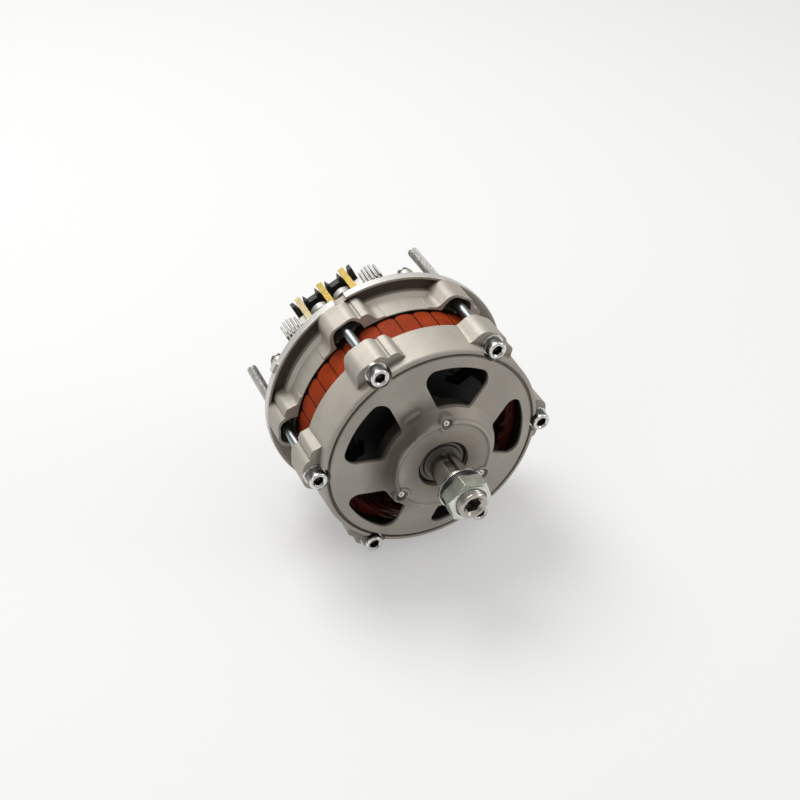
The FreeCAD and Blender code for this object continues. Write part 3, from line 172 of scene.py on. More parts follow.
class Shader:
    """A material's node tree with short calls for the nodes that the finishes share."""

    def __init__(self, name):
        self.material = bpy.data.materials.new(name)
        self.material.use_nodes = True
        self.tree = self.material.node_tree
        self.surface = self.tree.nodes["Principled BSDF"]
        self.place = self.add("ShaderNodeTexCoord").outputs["Object"]
        self.height = None

    def add(self, kind, **settings):
        """A new node with its settings."""
        made = self.tree.nodes.new(kind)
        for key, value in settings.items():
            setattr(made, key, value)
        return made

    def put(self, socket, value):
        """Links a socket, or sets a constant."""
        if isinstance(value, bpy.types.NodeSocket):
            self.tree.links.new(value, socket)
        elif socket.type == "RGBA" and len(value) == 3:
            socket.default_value = (*value, 1.0)
        else:
            socket.default_value = value

    def math(self, operation, a, b=0.0, c=0.0):
        """A math node's result."""
        made = self.add("ShaderNodeMath", operation=operation)
        for socket, value in zip(made.inputs, (a, b, c)):
            self.put(socket, value)
        return made.outputs[0]

    def noise(self, scale, detail=3.0, rough=0.5, place=None):
        """Fractal noise between 0 and 1. Scale is the number of lumps in a metre."""
        made = self.add("ShaderNodeTexNoise")
        self.put(made.inputs["Vector"], place or self.place)
        made.inputs["Scale"].default_value = scale
        made.inputs["Detail"].default_value = detail
        made.inputs["Roughness"].default_value = rough
        return made.outputs["Fac"]

    def span(self, value, low, high, out_low=0.0, out_high=1.0):
        """A value's stretch between low and high, carried to a new stretch and held there."""
        made = self.add("ShaderNodeMapRange", clamp=True)
        for key, number in (("From Min", low), ("From Max", high), ("To Min", out_low), ("To Max", out_high)):
            made.inputs[key].default_value = number
        self.put(made.inputs["Value"], value)
        return made.outputs["Result"]

    def blend(self, amount, a, b):
        """A colour between a and b."""
        made = self.add("ShaderNodeMix", data_type="RGBA")
        self.put(made.inputs[0], amount)
        self.put(made.inputs[6], a)
        self.put(made.inputs[7], b)
        return made.outputs[2]

    def mix(self, amount, a, b):
        """A number between a and b."""
        made = self.add("ShaderNodeMix", data_type="FLOAT")
        self.put(made.inputs[0], amount)
        self.put(made.inputs[2], a)
        self.put(made.inputs[3], b)
        return made.outputs[0]

    def xyz(self):
        """X, Y and Z of the place."""
        made = self.add("ShaderNodeSeparateXYZ")
        self.put(made.inputs[0], self.place)
        return made.outputs

    def times(self, *parts):
        """The product of values."""
        product = parts[0]
        for part in parts[1:]:
            product = self.math("MULTIPLY", product, part)
        return product

    def film(self, amount, base, over):
        """A colour with another laid over it by an amount, which may be a product (value, share)."""
        return self.blend(self.times(*amount) if isinstance(amount, tuple) else amount, base, over)

    def radius(self):
        """Distance from the shaft's axis."""
        x, _, z = self.xyz()
        return self.math("SQRT", self.math("ADD", self.math("MULTIPLY", x, x), self.math("MULTIPLY", z, z)))

    def round_place(self):
        """A place that changes along the shaft and outwards, and not round it, for lathe marks."""
        _, y, _ = self.xyz()
        joined = self.add("ShaderNodeCombineXYZ")
        self.put(joined.inputs[0], self.radius())
        self.put(joined.inputs[1], y)
        return joined.outputs[0]

    def soften(self, radius):
        """Rounds the shading of sharp edges, and gives a value that is 1 along them and 0 on open faces."""
        made = self.add("ShaderNodeBevel", samples=4)
        made.inputs["Radius"].default_value = radius
        self.height = made.outputs["Normal"]
        flat = self.add("ShaderNodeNewGeometry").outputs["Normal"]
        agree = self.add("ShaderNodeVectorMath", operation="DOT_PRODUCT")
        self.put(agree.inputs[0], self.height)
        self.put(agree.inputs[1], flat)
        return self.span(agree.outputs["Value"], 0.80, 0.985, 1.0, 0.0)

    def hollows(self, distance, low=0.35, high=0.85):
        """A value that is 1 in the solid's own hollows and narrow gaps, and 0 on open faces."""
        made = self.add("ShaderNodeAmbientOcclusion", samples=6, only_local=True)
        made.inputs["Distance"].default_value = distance
        return self.span(made.outputs["AO"], low, high, 1.0, 0.0)

    def bump(self, value, distance):
        """Adds relief of a height in metres to what the surface already has."""
        made = self.add("ShaderNodeBump")
        made.inputs["Strength"].default_value = 1.0
        made.inputs["Distance"].default_value = distance
        self.put(made.inputs["Height"], value)
        if self.height:
            self.put(made.inputs["Normal"], self.height)
        self.height = made.outputs["Normal"]
        self.put(self.surface.inputs["Normal"], self.height)

    def set(self, **values):
        """Sets the surface's own sockets by name, with spaces written as underlines."""
        for key, value in values.items():
            self.put(self.surface.inputs[key.replace("_", " ")], value)
        return self


def shade(tone, amount):
    """A colour made darker or lighter."""
    return tuple(min(1.0, part * amount) for part in tone)


def casting_finish(name, looks, flange):
    """Blasted casting: fine grain, cloudy patches, painted shade in the hollows and inside, and painted
    highlights on the edges.

    The rear housing (flange) has its own marks, and so has the front one's hub.
    """
    m = Shader(name)
    tone = looks.casting
    edge = m.soften(0.55 * MM)
    cloud = m.noise(42, 4.0, 0.55)
    bloom = m.noise(17, 3.0, 0.5)
    grain = m.noise(1600, 2.0, 0.6)
    pits = m.noise(430, 3.0, 0.55)
    x, y, z = m.xyz()
    reach = m.radius()
    base = m.blend(m.span(cloud, 0.35, 0.68), shade(tone, 0.88), shade(tone, 1.08))
    base = m.film(m.span(bloom, 0.42, 0.68, 0.0, 0.4), base, (tone[0] * 0.86, tone[1] * 0.78, tone[2] * 0.80))
    base = m.film(m.span(grain, 0.35, 0.7, 0.0, 0.25), base, shade(tone, 0.72))
    base = m.film(m.span(pits, 0.66, 0.78, 0.0, 0.3), base, shade(tone, 0.5))
    # Painted highlight: the casting lighter along its edges
    base = m.film((edge, 0.55), base, shade(tone, 1.35))
    # Painted shade: darker in the wide hollows, such as round the hub
    base = m.film((m.hollows(26 * MM, 0.30, 1.0), 0.55), base, shade(looks.painted_shade, 2.2))
    # Painted shade in the narrow hollows; on the front housing it is heavier on the left than on the right
    hollow_shade_share = 0.85 if flange else m.span(x, -10 * MM, 35 * MM, 0.9, 0.25)
    base = m.film((m.hollows(5 * MM, 0.22, 0.74), hollow_shade_share), base, looks.painted_shade)
    # Painted shade: the inside of the housing made almost black and not metallic
    if flange:
        inside_shade = m.span(y, -4.2 * MM, -5.2 * MM)
    else:
        base = hub_shade_and_highlight(m, looks, base, cloud, reach, m.math("ARCTAN2", x, z))
        inside_shade = behind_face(m, y, reach)
    inside_shade = m.times(inside_shade, m.span(reach, (WALL_INSIDE_R - 0.3) * MM, (WALL_INSIDE_R + 0.3) * MM, 1.0, 0.0))
    base = m.film((inside_shade, 0.97), base, shade(looks.painted_shade, 0.22))
    rough = m.span(grain, 0.3, 0.7, looks.casting_roughness - 0.05, looks.casting_roughness + 0.09)
    m.bump(m.noise(130, 4.0, 0.6), 0.00020)
    m.bump(grain, 0.00006)
    if flange:
        base, rough = flange_marks(m, looks, base, rough, cloud, y, reach)
    return m.set(Base_Color=base, Roughness=rough, Metallic=m.mix(inside_shade, 0.5, 0.0)).material


def behind_face(m, y, reach):
    """1 inside the front housing, and 0 on its outer face near y = slope * radius + middle."""
    face = m.math("MULTIPLY_ADD", reach, FACE_SLOPE, FACE_MIDDLE_Y * MM)
    return m.span(m.math("SUBTRACT", y, face), 0.9 * MM, 2.0 * MM)


def hub_shade_and_highlight(m, looks, base, cloud, reach, clock):
    """A brown darkening of the front hub towards its bore, painted shade round it at the upper left, and a
    painted highlight on the bead at its edge, strongest at the upper left.
    """
    left = m.span(m.math("COSINE", m.math("ADD", clock, math.radians(62))), -0.1, 0.9)
    uneven = m.math("MULTIPLY_ADD", m.math("SUBTRACT", cloud, 0.5), 9 * MM, reach)
    valley = m.times(m.span(uneven, 26.0 * MM, 28.5 * MM), m.span(uneven, 31 * MM, 44 * MM, 1.0, 0.0))
    # Painted shade in the valley round the hub, at its upper left
    base = m.film((valley, left, 0.93), base, shade(looks.painted_shade, 0.9))
    # Brown, darker towards the hub's bore
    base = m.film(m.span(uneven, 14 * MM, 27 * MM, 0.62, 0.0), base, looks.hub_darkening)
    aside = m.math("ABSOLUTE", m.math("SUBTRACT", reach, HUB_BEAD_R * MM))
    bead = m.math("POWER", m.span(aside, 0.0, 2.2 * MM, 1.0, 0.0), 2.0)
    crown = m.times(bead, m.span(left, 0.0, 1.0, 0.25, 1.0))
    # Painted highlight on the bead, strongest at the upper left
    base = m.film((crown, 0.45), base, shade(looks.casting, 1.35))
    m.bump(crown, 0.0018)
    return base


def flange_marks(m, looks, base, rough, cloud, y, reach):
    """Painted shade on the floor of the flange's channels, and the flange's bright turned rim."""
    inside = m.times(m.span(reach, (CHANNEL_IN_R - 0.3) * MM, (CHANNEL_IN_R + 0.4) * MM),
                     m.span(reach, (CHANNEL_OUT_R - 0.3) * MM, (CHANNEL_OUT_R + 0.3) * MM, 1.0, 0.0))
    # Painted shade on the channels' floor, browner in patches
    floor = m.times(inside, m.span(y, -5.2 * MM, -3.6 * MM))
    channel_shaded = m.blend(m.span(cloud, 0.4, 0.65), shade(looks.painted_shade, 1.5), looks.channel_shade)
    base = m.film((floor, 0.92), base, channel_shaded)
    rim = m.times(m.span(reach, (FLANGE_RIM_R - 0.15) * MM, (FLANGE_RIM_R + 0.15) * MM),
                  m.span(y, -4.8 * MM, -4.4 * MM, 0.0, 0.8))
    lathe = m.noise(5200, 2.0, 0.5, m.round_place())
    turned = m.blend(m.span(lathe, 0.3, 0.7), shade(looks.machined, 0.90), shade(looks.machined, 1.05))
    return m.film(rim, base, turned), m.mix(rim, rough, m.span(lathe, 0.3, 0.7, 0.26, 0.38))


def turned_finish(name, tone, roughness):
    """Metal turned on a lathe: fine rings round the shaft's axis, and painted shade in its hollows."""
    m = Shader(name)
    lathe = m.noise(4200, 3.0, 0.55, m.round_place())
    dust = m.noise(260, 3.0, 0.6)
    base = m.blend(m.span(lathe, 0.3, 0.7), shade(tone, 0.86), shade(tone, 1.08))
    base = m.blend(m.span(dust, 0.55, 0.8, 0.0, 0.3), base, shade(tone, 0.6))
    # Painted shade in the hollows
    base = m.film((m.hollows(4 * MM), 0.92), base, shade(tone, 0.04))
    m.bump(lathe, 0.00002)
    rough = m.span(lathe, 0.3, 0.7, roughness - 0.05, roughness + 0.07)
    return m.set(Base_Color=base, Roughness=rough, Metallic=1.0).material


def plated_finish(name, tone, roughness, pitting=0.25):
    """Bright zinc plating: faint cloudy tint, painted glints on the rounded edges, a few tiny pits and painted
    shade in the hollows.
    """
    m = Shader(name)
    edge = m.soften(0.28 * MM)
    cloud = m.noise(230, 3.0, 0.6)
    pits = m.noise(1500, 2.0, 0.5)
    base = m.blend(m.span(cloud, 0.35, 0.7), shade(tone, 0.86), shade(tone, 1.08))
    base = m.blend(m.span(pits, 0.66, 0.74, 0.0, pitting), base, shade(tone, 0.4))
    # Painted highlight along the edges
    base = m.film((edge, 0.4), base, shade(tone, 1.3))
    # Painted shade in the hollows
    base = m.film((m.hollows(4 * MM), 0.94), base, (0.015, 0.015, 0.015))
    m.bump(pits, 0.00002)
    m.bump(cloud, 0.00005)
    rough = m.span(cloud, 0.3, 0.75, roughness - 0.05, roughness + 0.08)
    return m.set(Base_Color=base, Roughness=rough, Metallic=1.0).material


def dull_metal_finish(name, tone, roughness, metallic=0.8):
    """Dull cast or drawn metal: soft patches, a fine grain and painted highlights on the edges."""
    m = Shader(name)
    cloud = m.noise(160, 4.0, 0.6)
    grain = m.noise(2400, 2.0, 0.6)
    edge = m.soften(0.25 * MM)
    base = m.blend(m.span(cloud, 0.32, 0.7), shade(tone, 0.74), shade(tone, 1.14))
    # Painted highlight along the edges
    base = m.film((edge, 0.5), base, shade(tone, 1.5))
    m.bump(grain, 0.00006)
    m.bump(cloud, 0.00012)
    rough = m.span(grain, 0.3, 0.7, roughness - 0.06, roughness + 0.08)
    return m.set(Base_Color=base, Roughness=rough, Metallic=metallic).material


def laminated_finish(name, tone):
    """Varnished stack of thin sheets: a fine line at every sheet, with runs and thicker pools of varnish.

    It has painted shade inside, in its hollows and behind a line that bulges at each groove by |sin(18 * angle)|
    to the sixth power.
    """
    m = Shader(name)
    x, y, z = m.xyz()
    sheet = m.math("FRACT", m.math("DIVIDE", y, 0.7 * MM))
    line = m.math("PINGPONG", sheet, 0.5)
    pools = m.noise(95, 4.0, 0.6)
    fleck = m.noise(700, 3.0, 0.6)
    base = m.blend(m.span(pools, 0.32, 0.7), shade(tone, 0.72), shade(tone, 1.18))
    base = m.film(m.span(line, 0.0, 0.16, 0.35, 0.0), base, shade(tone, 0.4))
    base = m.film(m.span(fleck, 0.6, 0.8, 0.0, 0.3), base, shade(tone, 0.45))
    # Painted shade in the hollows
    base = m.film((m.hollows(3 * MM, 0.3, 0.8), 0.9), base, (0.012, 0.006, 0.005))
    # Painted shade behind a scalloped line near the rear rim, and on the inside of the stack
    waves = SLOTS / 2
    turns = m.math("MULTIPLY_ADD", m.math("ARCTAN2", x, z), waves, math.radians(90.0 - waves * GROOVE_CLOCK))
    scallop = m.math("POWER", m.math("ABSOLUTE", m.math("SINE", turns)), 6.0)
    gap = m.span(m.math("MULTIPLY_ADD", scallop, 1.5 * MM, y), -21.6 * MM, -21.2 * MM)
    inner = m.span(m.radius(), 58.2 * MM, 58.6 * MM, 1.0, 0.0)
    dark = m.math("MAXIMUM", m.times(gap, 0.95), m.times(inner, 0.88))
    base = m.film(dark, base, (0.006, 0.004, 0.004))
    m.bump(m.span(line, 0.0, 0.25), 0.00005)
    m.bump(pools, 0.0003)
    m.surface.inputs["Specular IOR Level"].default_value = 0.08
    return m.set(Base_Color=base, Roughness=m.span(pools, 0.3, 0.7, 0.42, 0.58), Metallic=0.0).material


def varnished_wire_finish(name, tone, copper):
    """Enamelled copper wire under dark varnish: deep colour with thin places where the copper shows."""
    m = Shader(name)
    pools = m.noise(190, 3.0, 0.6)
    thin = m.noise(900, 3.0, 0.6)
    base = m.blend(m.span(pools, 0.3, 0.7), shade(tone, 0.55), shade(tone, 1.45))
    base = m.blend(m.span(thin, 0.58, 0.75, 0.0, 0.5), base, copper)
    m.bump(pools, 0.0002)
    m.surface.inputs["Coat Weight"].default_value = 0.35
    m.surface.inputs["Coat Roughness"].default_value = 0.2
    return m.set(Base_Color=base, Roughness=m.span(thin, 0.3, 0.7, 0.3, 0.42), Metallic=0.15).material


def moulded_finish(name, tone, roughness, grain=1300):
    """Moulded plastic or rubber: fine skin texture and slightly uneven gloss."""
    m = Shader(name)
    skin = m.noise(grain, 2.0, 0.6)
    cloud = m.noise(120, 3.0, 0.5)
    base = m.blend(m.span(cloud, 0.3, 0.7), shade(tone, 0.8), shade(tone, 1.35))
    m.bump(skin, 0.00005)
    rough = m.span(skin, 0.3, 0.7, roughness - 0.06, roughness + 0.08)
    return m.set(Base_Color=base, Roughness=rough, Metallic=0.0).material


def lead_finish(name, brass, tinned):
    """Flat phase leads: drawn brass, and the leftmost one tinned."""
    m = Shader(name)
    x, _, z = m.xyz()
    turn = math.radians(RECTIFIER_CLOCK)
    across = m.math("SUBTRACT", m.math("MULTIPLY", x, math.cos(turn)), m.math("MULTIPLY", z, math.sin(turn)))
    left = m.math("LESS_THAN", across, -8.0 * MM)
    cloud = m.noise(300, 3.0, 0.6)
    base = m.blend(left, brass, tinned)
    base = m.blend(m.span(cloud, 0.45, 0.8, 0.0, 0.45), base, shade(brass, 0.5))
    m.bump(cloud, 0.0001)
    return m.set(Base_Color=base, Roughness=m.span(cloud, 0.3, 0.7, 0.28, 0.44), Metallic=0.85).material


def make_finishes(looks):
    """Every finish, by its name."""
    finishes = {
        "casting": casting_finish("blasted_casting", looks, False),
        "flange_casting": casting_finish("blasted_casting_turned_rim", looks, True),
        "stator_red": laminated_finish("stator_varnish", looks.stator_varnish),
        "winding_red": varnished_wire_finish("winding_varnish", looks.winding_varnish, (0.26, 0.05, 0.02)),
        "zinc": plated_finish("bright_zinc", looks.zinc, 0.20),
        "shank_zinc": plated_finish("bluish_zinc", looks.shank_zinc, 0.30, 0.4),
        "stud_zinc": plated_finish("greyish_zinc", looks.stud_zinc, 0.36, 0.3),
        "dark_zinc": plated_finish("shaded_zinc", shade(looks.zinc, 0.30), 0.30),
        "nut_zinc": plated_finish("greenish_zinc", looks.nut_zinc, 0.25, 0.2),
        "steel": turned_finish("turned_steel", looks.steel, 0.26),
        # Painted shade: a darker copy of the turned steel
        "dark_steel": turned_finish("steel_in_painted_shade", shade(looks.steel, 0.26), 0.42),
        "dark_spring_steel": turned_finish("blackened_spring_steel", (0.055, 0.055, 0.055), 0.42),
        "bearing_steel": turned_finish("ground_bearing_steel", (0.62, 0.62, 0.61), 0.16),
        "bearing_seal": moulded_finish("bearing_rubber", (0.016, 0.016, 0.017), 0.6),
        "cage": moulded_finish("bearing_cage", (0.16, 0.11, 0.05), 0.45),
        # The claw poles' iron is dark and made darker still, and the spool and slot paper darker than their own
        # colour, as painted shade inside the housing
        "pole_iron": dull_metal_finish("dark_iron_and_painted_shade", (0.008, 0.008, 0.008), 0.6, 0.1),
        "coil_varnish": varnished_wire_finish("coil_varnish", (0.16, 0.03, 0.015), (0.45, 0.16, 0.07)),
        "bobbin": moulded_finish("spool_moulding", (0.13, 0.10, 0.07), 0.5),
        "slot_liner": moulded_finish("slot_paper", (0.12, 0.06, 0.035), 0.75, 2600),
        "ring_copper": turned_finish("slip_ring_copper", (0.62, 0.29, 0.16), 0.2),
        "black_moulding": moulded_finish("black_moulding", looks.moulding, 0.42),
        "carbon": moulded_finish("brush_carbon", (0.03, 0.03, 0.032), 0.5, 3000),
        "heat_sink": dull_metal_finish("dull_heat_sink", looks.heat_sink, 0.45),
        "diode_can": dull_metal_finish("nickelled_diode", (0.105, 0.11, 0.115), 0.40, 0.8),
        "lead_brass": lead_finish("phase_lead_brass", looks.brass, looks.tinned),
        "grommet_rubber": moulded_finish("bush_rubber", (0.02, 0.02, 0.02), 0.65),
        "capacitor_can": dull_metal_finish("drawn_can", (0.5, 0.5, 0.49), 0.3, 0.95),
    }
    return finishes


# The material made for each finish, and the nodes whose finish isn't the one of their slot
FINISH_NAMES = {}
OWN_FINISHES = {
    "slip_ring_end_housing": "flange_casting",
    # Painted shade: the collar and the front bearing's rings sit in the hub's bore and take the darker copy of
    # the steel
    "shaft_thrust_collar": "dark_steel",
    "rectifier_ear_screws": "stud_zinc",
    "rectifier_screws": "stud_zinc",
    "front_bearing_inner_ring": "dark_steel",
    "front_bearing_outer_ring": "dark_steel",
}


def finish_of(name):
    """The material of a finish, which an earlier operator made."""
    return bpy.data.materials[FINISH_NAMES[name]]


# Surfaces

def grid_mesh(name, grids, slot):
    """One mesh from several point grids (rows, columns, 3).

    Each entry is (points, close columns, cap first row, cap last row). A cap is a fan to the row's mean point.
    """
    verts = []
    faces = []
    base = 0
    for points, closed, cap_first, cap_last in grids:
        rows, cols, _ = points.shape
        verts.append(points.reshape(-1, 3))
        index = np.arange(rows * cols).reshape(rows, cols) + base
        ahead = np.roll(index, -1, axis=1) if closed else index[:, 1:]
        here = index if closed else index[:, :-1]
        quads = np.stack([here[:-1], ahead[:-1], ahead[1:], here[1:]], -1).reshape(-1, 4)
        faces.append(quads)
        base += rows * cols
        for wanted, row, flip in ((cap_first, 0, True), (cap_last, rows - 1, False)):
            if not wanted:
                continue
            verts.append(points[row].mean(0)[None])
            ring, after = here[row], ahead[row]
            centre = np.full_like(ring, base)
            fan = np.stack([after, ring, centre, centre] if flip else [ring, after, centre, centre], -1)
            faces.append(fan)
            base += 1
    verts = np.concatenate(verts)
    faces = np.concatenate(faces)
    mesh = bpy.data.meshes.new(name)
    mesh.from_pydata(verts.tolist(), [], [list(dict.fromkeys(f)) for f in faces.tolist()])
    mesh.update()
    mesh.polygons.foreach_set("use_smooth", np.full(len(mesh.polygons), True))
    mesh.set_sharp_from_angle(angle=math.radians(SHARP_ANGLE))
    made = bpy.data.objects.new(name, mesh)
    bpy.context.scene.collection.objects.link(made)
    mesh.materials.append(finish_of(slot))
    return made


def paint_beyond(piece, height, finish):
    """Gives the faces of a piece that lie behind a height along the shaft another finish."""
    mesh = piece.data
    mesh.materials.append(finish_of(finish))
    centres = np.empty(len(mesh.polygons) * 3)
    mesh.polygons.foreach_get("center", centres)
    index = np.empty(len(mesh.polygons), np.int32)
    mesh.polygons.foreach_get("material_index", index)
    index[centres[1::3] > height] = len(mesh.materials) - 1
    mesh.polygons.foreach_set("material_index", index)


def tubes(paths, radius, sides):
    """Round tubes along many paths at once: paths (wires, points, 3) give grids (wires, points, sides, 3).

    The ring at each point is radius * (cos a * n + sin a * b). Here b is the path's direction crossed with a
    steady guide, and n is square to both.
    """
    along = np.gradient(paths, axis=1)
    along /= np.linalg.norm(along, axis=-1, keepdims=True)
    outward = paths * np.array([1.0, 0.0, 1.0])
    outward /= np.linalg.norm(outward, axis=-1, keepdims=True) + 1e-9
    side = np.cross(along, outward + 0.15 * np.array([0.0, 1.0, 0.0]))
    side /= np.linalg.norm(side, axis=-1, keepdims=True)
    top = np.cross(side, along)
    a = np.linspace(0, 2 * np.pi, sides, endpoint=False)
    ring = np.cos(a)[:, None] * top[..., None, :] + np.sin(a)[:, None] * side[..., None, :]
    return paths[..., None, :] + radius * ring


def turned_rings(radii, heights, columns):
    """Surface of revolution about Y: ring k has radius radii[k], or one radius a column, at heights[k]."""
    a = np.linspace(0, 2 * np.pi, columns, endpoint=False)
    radii = np.broadcast_to(np.asarray(radii, float).reshape(len(heights), -1), (len(heights), columns))
    heights = np.broadcast_to(np.asarray(heights, float).reshape(len(heights), -1), (len(heights), columns))
    return np.stack([radii * np.sin(a), heights, radii * np.cos(a)], -1)


def spun(rows, columns):
    """Surface of revolution about Y through (radius or radii, height) rows in millimetres."""
    radii = np.stack([np.broadcast_to(np.asarray(radius, float), columns) for radius, _ in rows])
    return turned_rings(radii * MM, np.array([height for _, height in rows]) * MM, columns)


def clock_place(points, clock, reach):
    """Moves points out to a bolt circle: turned about the shaft by a clock angle, at a distance from the axis."""
    angle = math.radians(clock)
    turn = np.array([[math.cos(angle), 0, math.sin(angle)], [0, 1, 0], [-math.sin(angle), 0, math.cos(angle)]])
    return (points + np.array([0, 0, reach])) @ turn.T


def hexagon_radius(flats, columns):
    """Radius of a hexagon at evenly spaced angles: flats / 2 over the cosine of the angle from a flat."""
    a = np.linspace(0, 2 * np.pi, columns, endpoint=False)
    return flats / 2 / np.cos((a + np.pi / 6) % (np.pi / 3) - np.pi / 6)


def knurled_radius(radius, depth, ridges, columns):
    """Radius of a knurled cup at evenly spaced angles: less by depth * |cos(ridges * angle / 2)|."""
    a = np.linspace(0, 2 * np.pi, columns, endpoint=False)
    return radius - depth * np.abs(np.cos(ridges * a / 2))


def rectifier_place(points, u, v):
    """Moves points to (u across, v outwards) millimetres in the rectifier's own turned frame."""
    return clock_place(points, RECTIFIER_CLOCK + math.degrees(math.atan2(u, v)), math.hypot(u, v) * MM)


def thread_rows(y0, y1, crest, pitch, depth, columns, rows_a_turn=10):
    """Rows of a screw thread: the radius is a flattened triangle wave of height / pitch - angle / full turn."""
    heights = np.linspace(y0, y1, max(2, int((y1 - y0) / pitch * rows_a_turn)))
    a = np.linspace(0, 1, columns, endpoint=False)
    phase = (heights[:, None] / pitch - a[None]) % 1.0
    wave = np.clip(np.abs(phase * 2 - 1) * 1.35 - 0.12, 0, 1)
    fade = np.clip(np.minimum(heights - y0, y1 - heights) / pitch, 0, 1)[:, None]
    return crest - depth * wave * fade, heights


def coil_spring(middle, foot, height, reach, wire, turns):
    """Points of a compression spring along Z at y = middle, with one close turn at each end.

    The wire's centre is (reach * cos t, middle + reach * sin t, z(t)), and the ring round it is
    wire * (cos a * outward - sin a * Z).
    """
    t = np.linspace(0, 2 * np.pi * turns, turns * 24 + 1)
    close = 2.1 * wire
    free = height - 2 * wire
    z = foot + wire + np.interp(t / (2 * np.pi), [0, 1, turns - 1, turns], [0, close, free - close, free])
    a = np.linspace(0, 2 * np.pi, 8, endpoint=False)
    spread = reach + wire * np.cos(a)[None]
    x = spread * np.cos(t)[:, None]
    y = middle + spread * np.sin(t)[:, None]
    return np.stack([x, y, z[:, None] - wire * np.sin(a)[None] + 0 * x], -1)


# Operators

class ALTERNATOR_OT_finishes(bpy.types.Operator):
    """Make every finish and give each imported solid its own"""
    bl_idname = "alternator.finishes"
    bl_label = "Finishes"

    def execute(self, context):
        made = make_finishes(context.scene.alternator_finishes)
        for slot, material in made.items():
            FINISH_NAMES[slot] = material.name
        slots = {entry["node"]: entry["material_slot"] for entry in frame["record"]["subparts"]}
        for name, node in frame["nodes"].items():
            finish = OWN_FINISHES.get(name, slots[name])
            for entry in node.material_slots:
                entry.material = made[finish]
        return {"FINISHED"}


class ALTERNATOR_OT_windings(bpy.types.Operator):
    """Stator windings as separate varnished wires with looped end turns"""
    bl_idname = "alternator.windings"
    bl_label = "Stator windings"

    def execute(self, context):
        settings = context.scene.alternator_windings
        wires = settings.wires
        rng = np.random.default_rng(settings.seed)
        t = np.linspace(0, 1, 22)
        smooth = t * t * (3 - 2 * t)
        for name, node, core, sign in (
            ("winding_end_front", "front_end_windings", SLOT_MOUTH_Y[0], -1.0),
            ("winding_end_rear", "rear_end_windings", SLOT_MOUTH_Y[1], 1.0),
        ):
            low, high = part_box(node)
            top = (core - low.y / MM if sign < 0 else high.y / MM - core) - 1.3
            slot = np.repeat(np.arange(SLOTS), wires)
            lane = np.tile(np.arange(wires), SLOTS)
            start = slot * SLOT_STEP + rng.normal(0, 0.5, slot.size)
            stop = start + 3 * SLOT_STEP + rng.normal(0, 0.5, slot.size)
            outer = 54.9 - lane * 0.55 + rng.normal(0, 0.12, slot.size)
            inner = 50.6 - lane * 0.42 + rng.normal(0, 0.12, slot.size)
            lift = top + rng.uniform(-0.9, 0.6, slot.size) - (lane % 3) * 0.9
            angle = np.radians(start[:, None] + (stop - start)[:, None] * smooth)
            reach = outer[:, None] + (inner - outer)[:, None] * smooth
            rise = lift[:, None] * np.sin(np.pi * t) ** 0.55
            y = core + sign * (0.2 + rise)
            paths = np.stack([reach * np.sin(angle), y, reach * np.cos(angle)], -1) * MM
            rings = tubes(paths, settings.wire / 2, 6)
            if sign > 0:
                rings = rings[:, :, ::-1]
            made = grid_mesh(name, [(ring, True, True, True) for ring in rings], "winding_red")
            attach(made, "frame")
            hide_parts(node)
        layers = np.array([49.2, 50.6, 52.0, 53.4])
        slots = np.radians(SLOT_STEP * np.repeat(np.arange(SLOTS), 2 * layers.size))
        radial = np.tile(np.repeat(layers, 2), SLOTS)
        aside = np.tile([-0.62, 0.62], layers.size * SLOTS)
        x = radial * np.sin(slots) + aside * np.cos(slots)
        z = radial * np.cos(slots) - aside * np.sin(slots)
        y = np.linspace(SLOT_MOUTH_Y[0] - 0.6, SLOT_MOUTH_Y[1] + 0.6, 3)
        lines = np.stack([x[:, None] + 0 * y, y + 0 * x[:, None], z[:, None] + 0 * y], -1) * MM
        rings = tubes(lines, 0.58 * MM, 6)
        made = grid_mesh("winding_slots", [(ring, True, True, True) for ring in rings], "winding_red")
        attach(made, "frame")
        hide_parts("slot_windings")
        return {"FINISHED"}


class ALTERNATOR_OT_field_coil(bpy.types.Operator):
    """Field coil with every turn of its wire showing on the outside"""
    bl_idname = "alternator.field_coil"
    bl_label = "Field coil"

    def execute(self, context):
        low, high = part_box("field_coil")
        y0, y1 = low.y + 0.1 * MM, high.y - 0.1 * MM
        reach = high.x - 0.1 * MM
        rows = 160
        columns = 120
        heights = np.linspace(y0, y1, rows)
        a = np.linspace(0, 1, columns, endpoint=False)
        turn = (y1 - y0) / 16
        bead = np.abs(np.sin(np.pi * ((heights[:, None] - y0) / turn - a[None])))
        radii = reach - 0.45 * MM * (1 - bead)
        points = turned_rings(radii, heights, columns)
        inner = turned_rings([radii.min() - 12 * MM] * 2, [y0, y1], columns)
        whole = np.concatenate([inner[:1], points, inner[1:], inner[:1]])
        made = grid_mesh("field_coil_turns", [(whole, True, False, False)], "coil_varnish")
        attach(made, "rotor")
        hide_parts("field_coil")
        return {"FINISHED"}


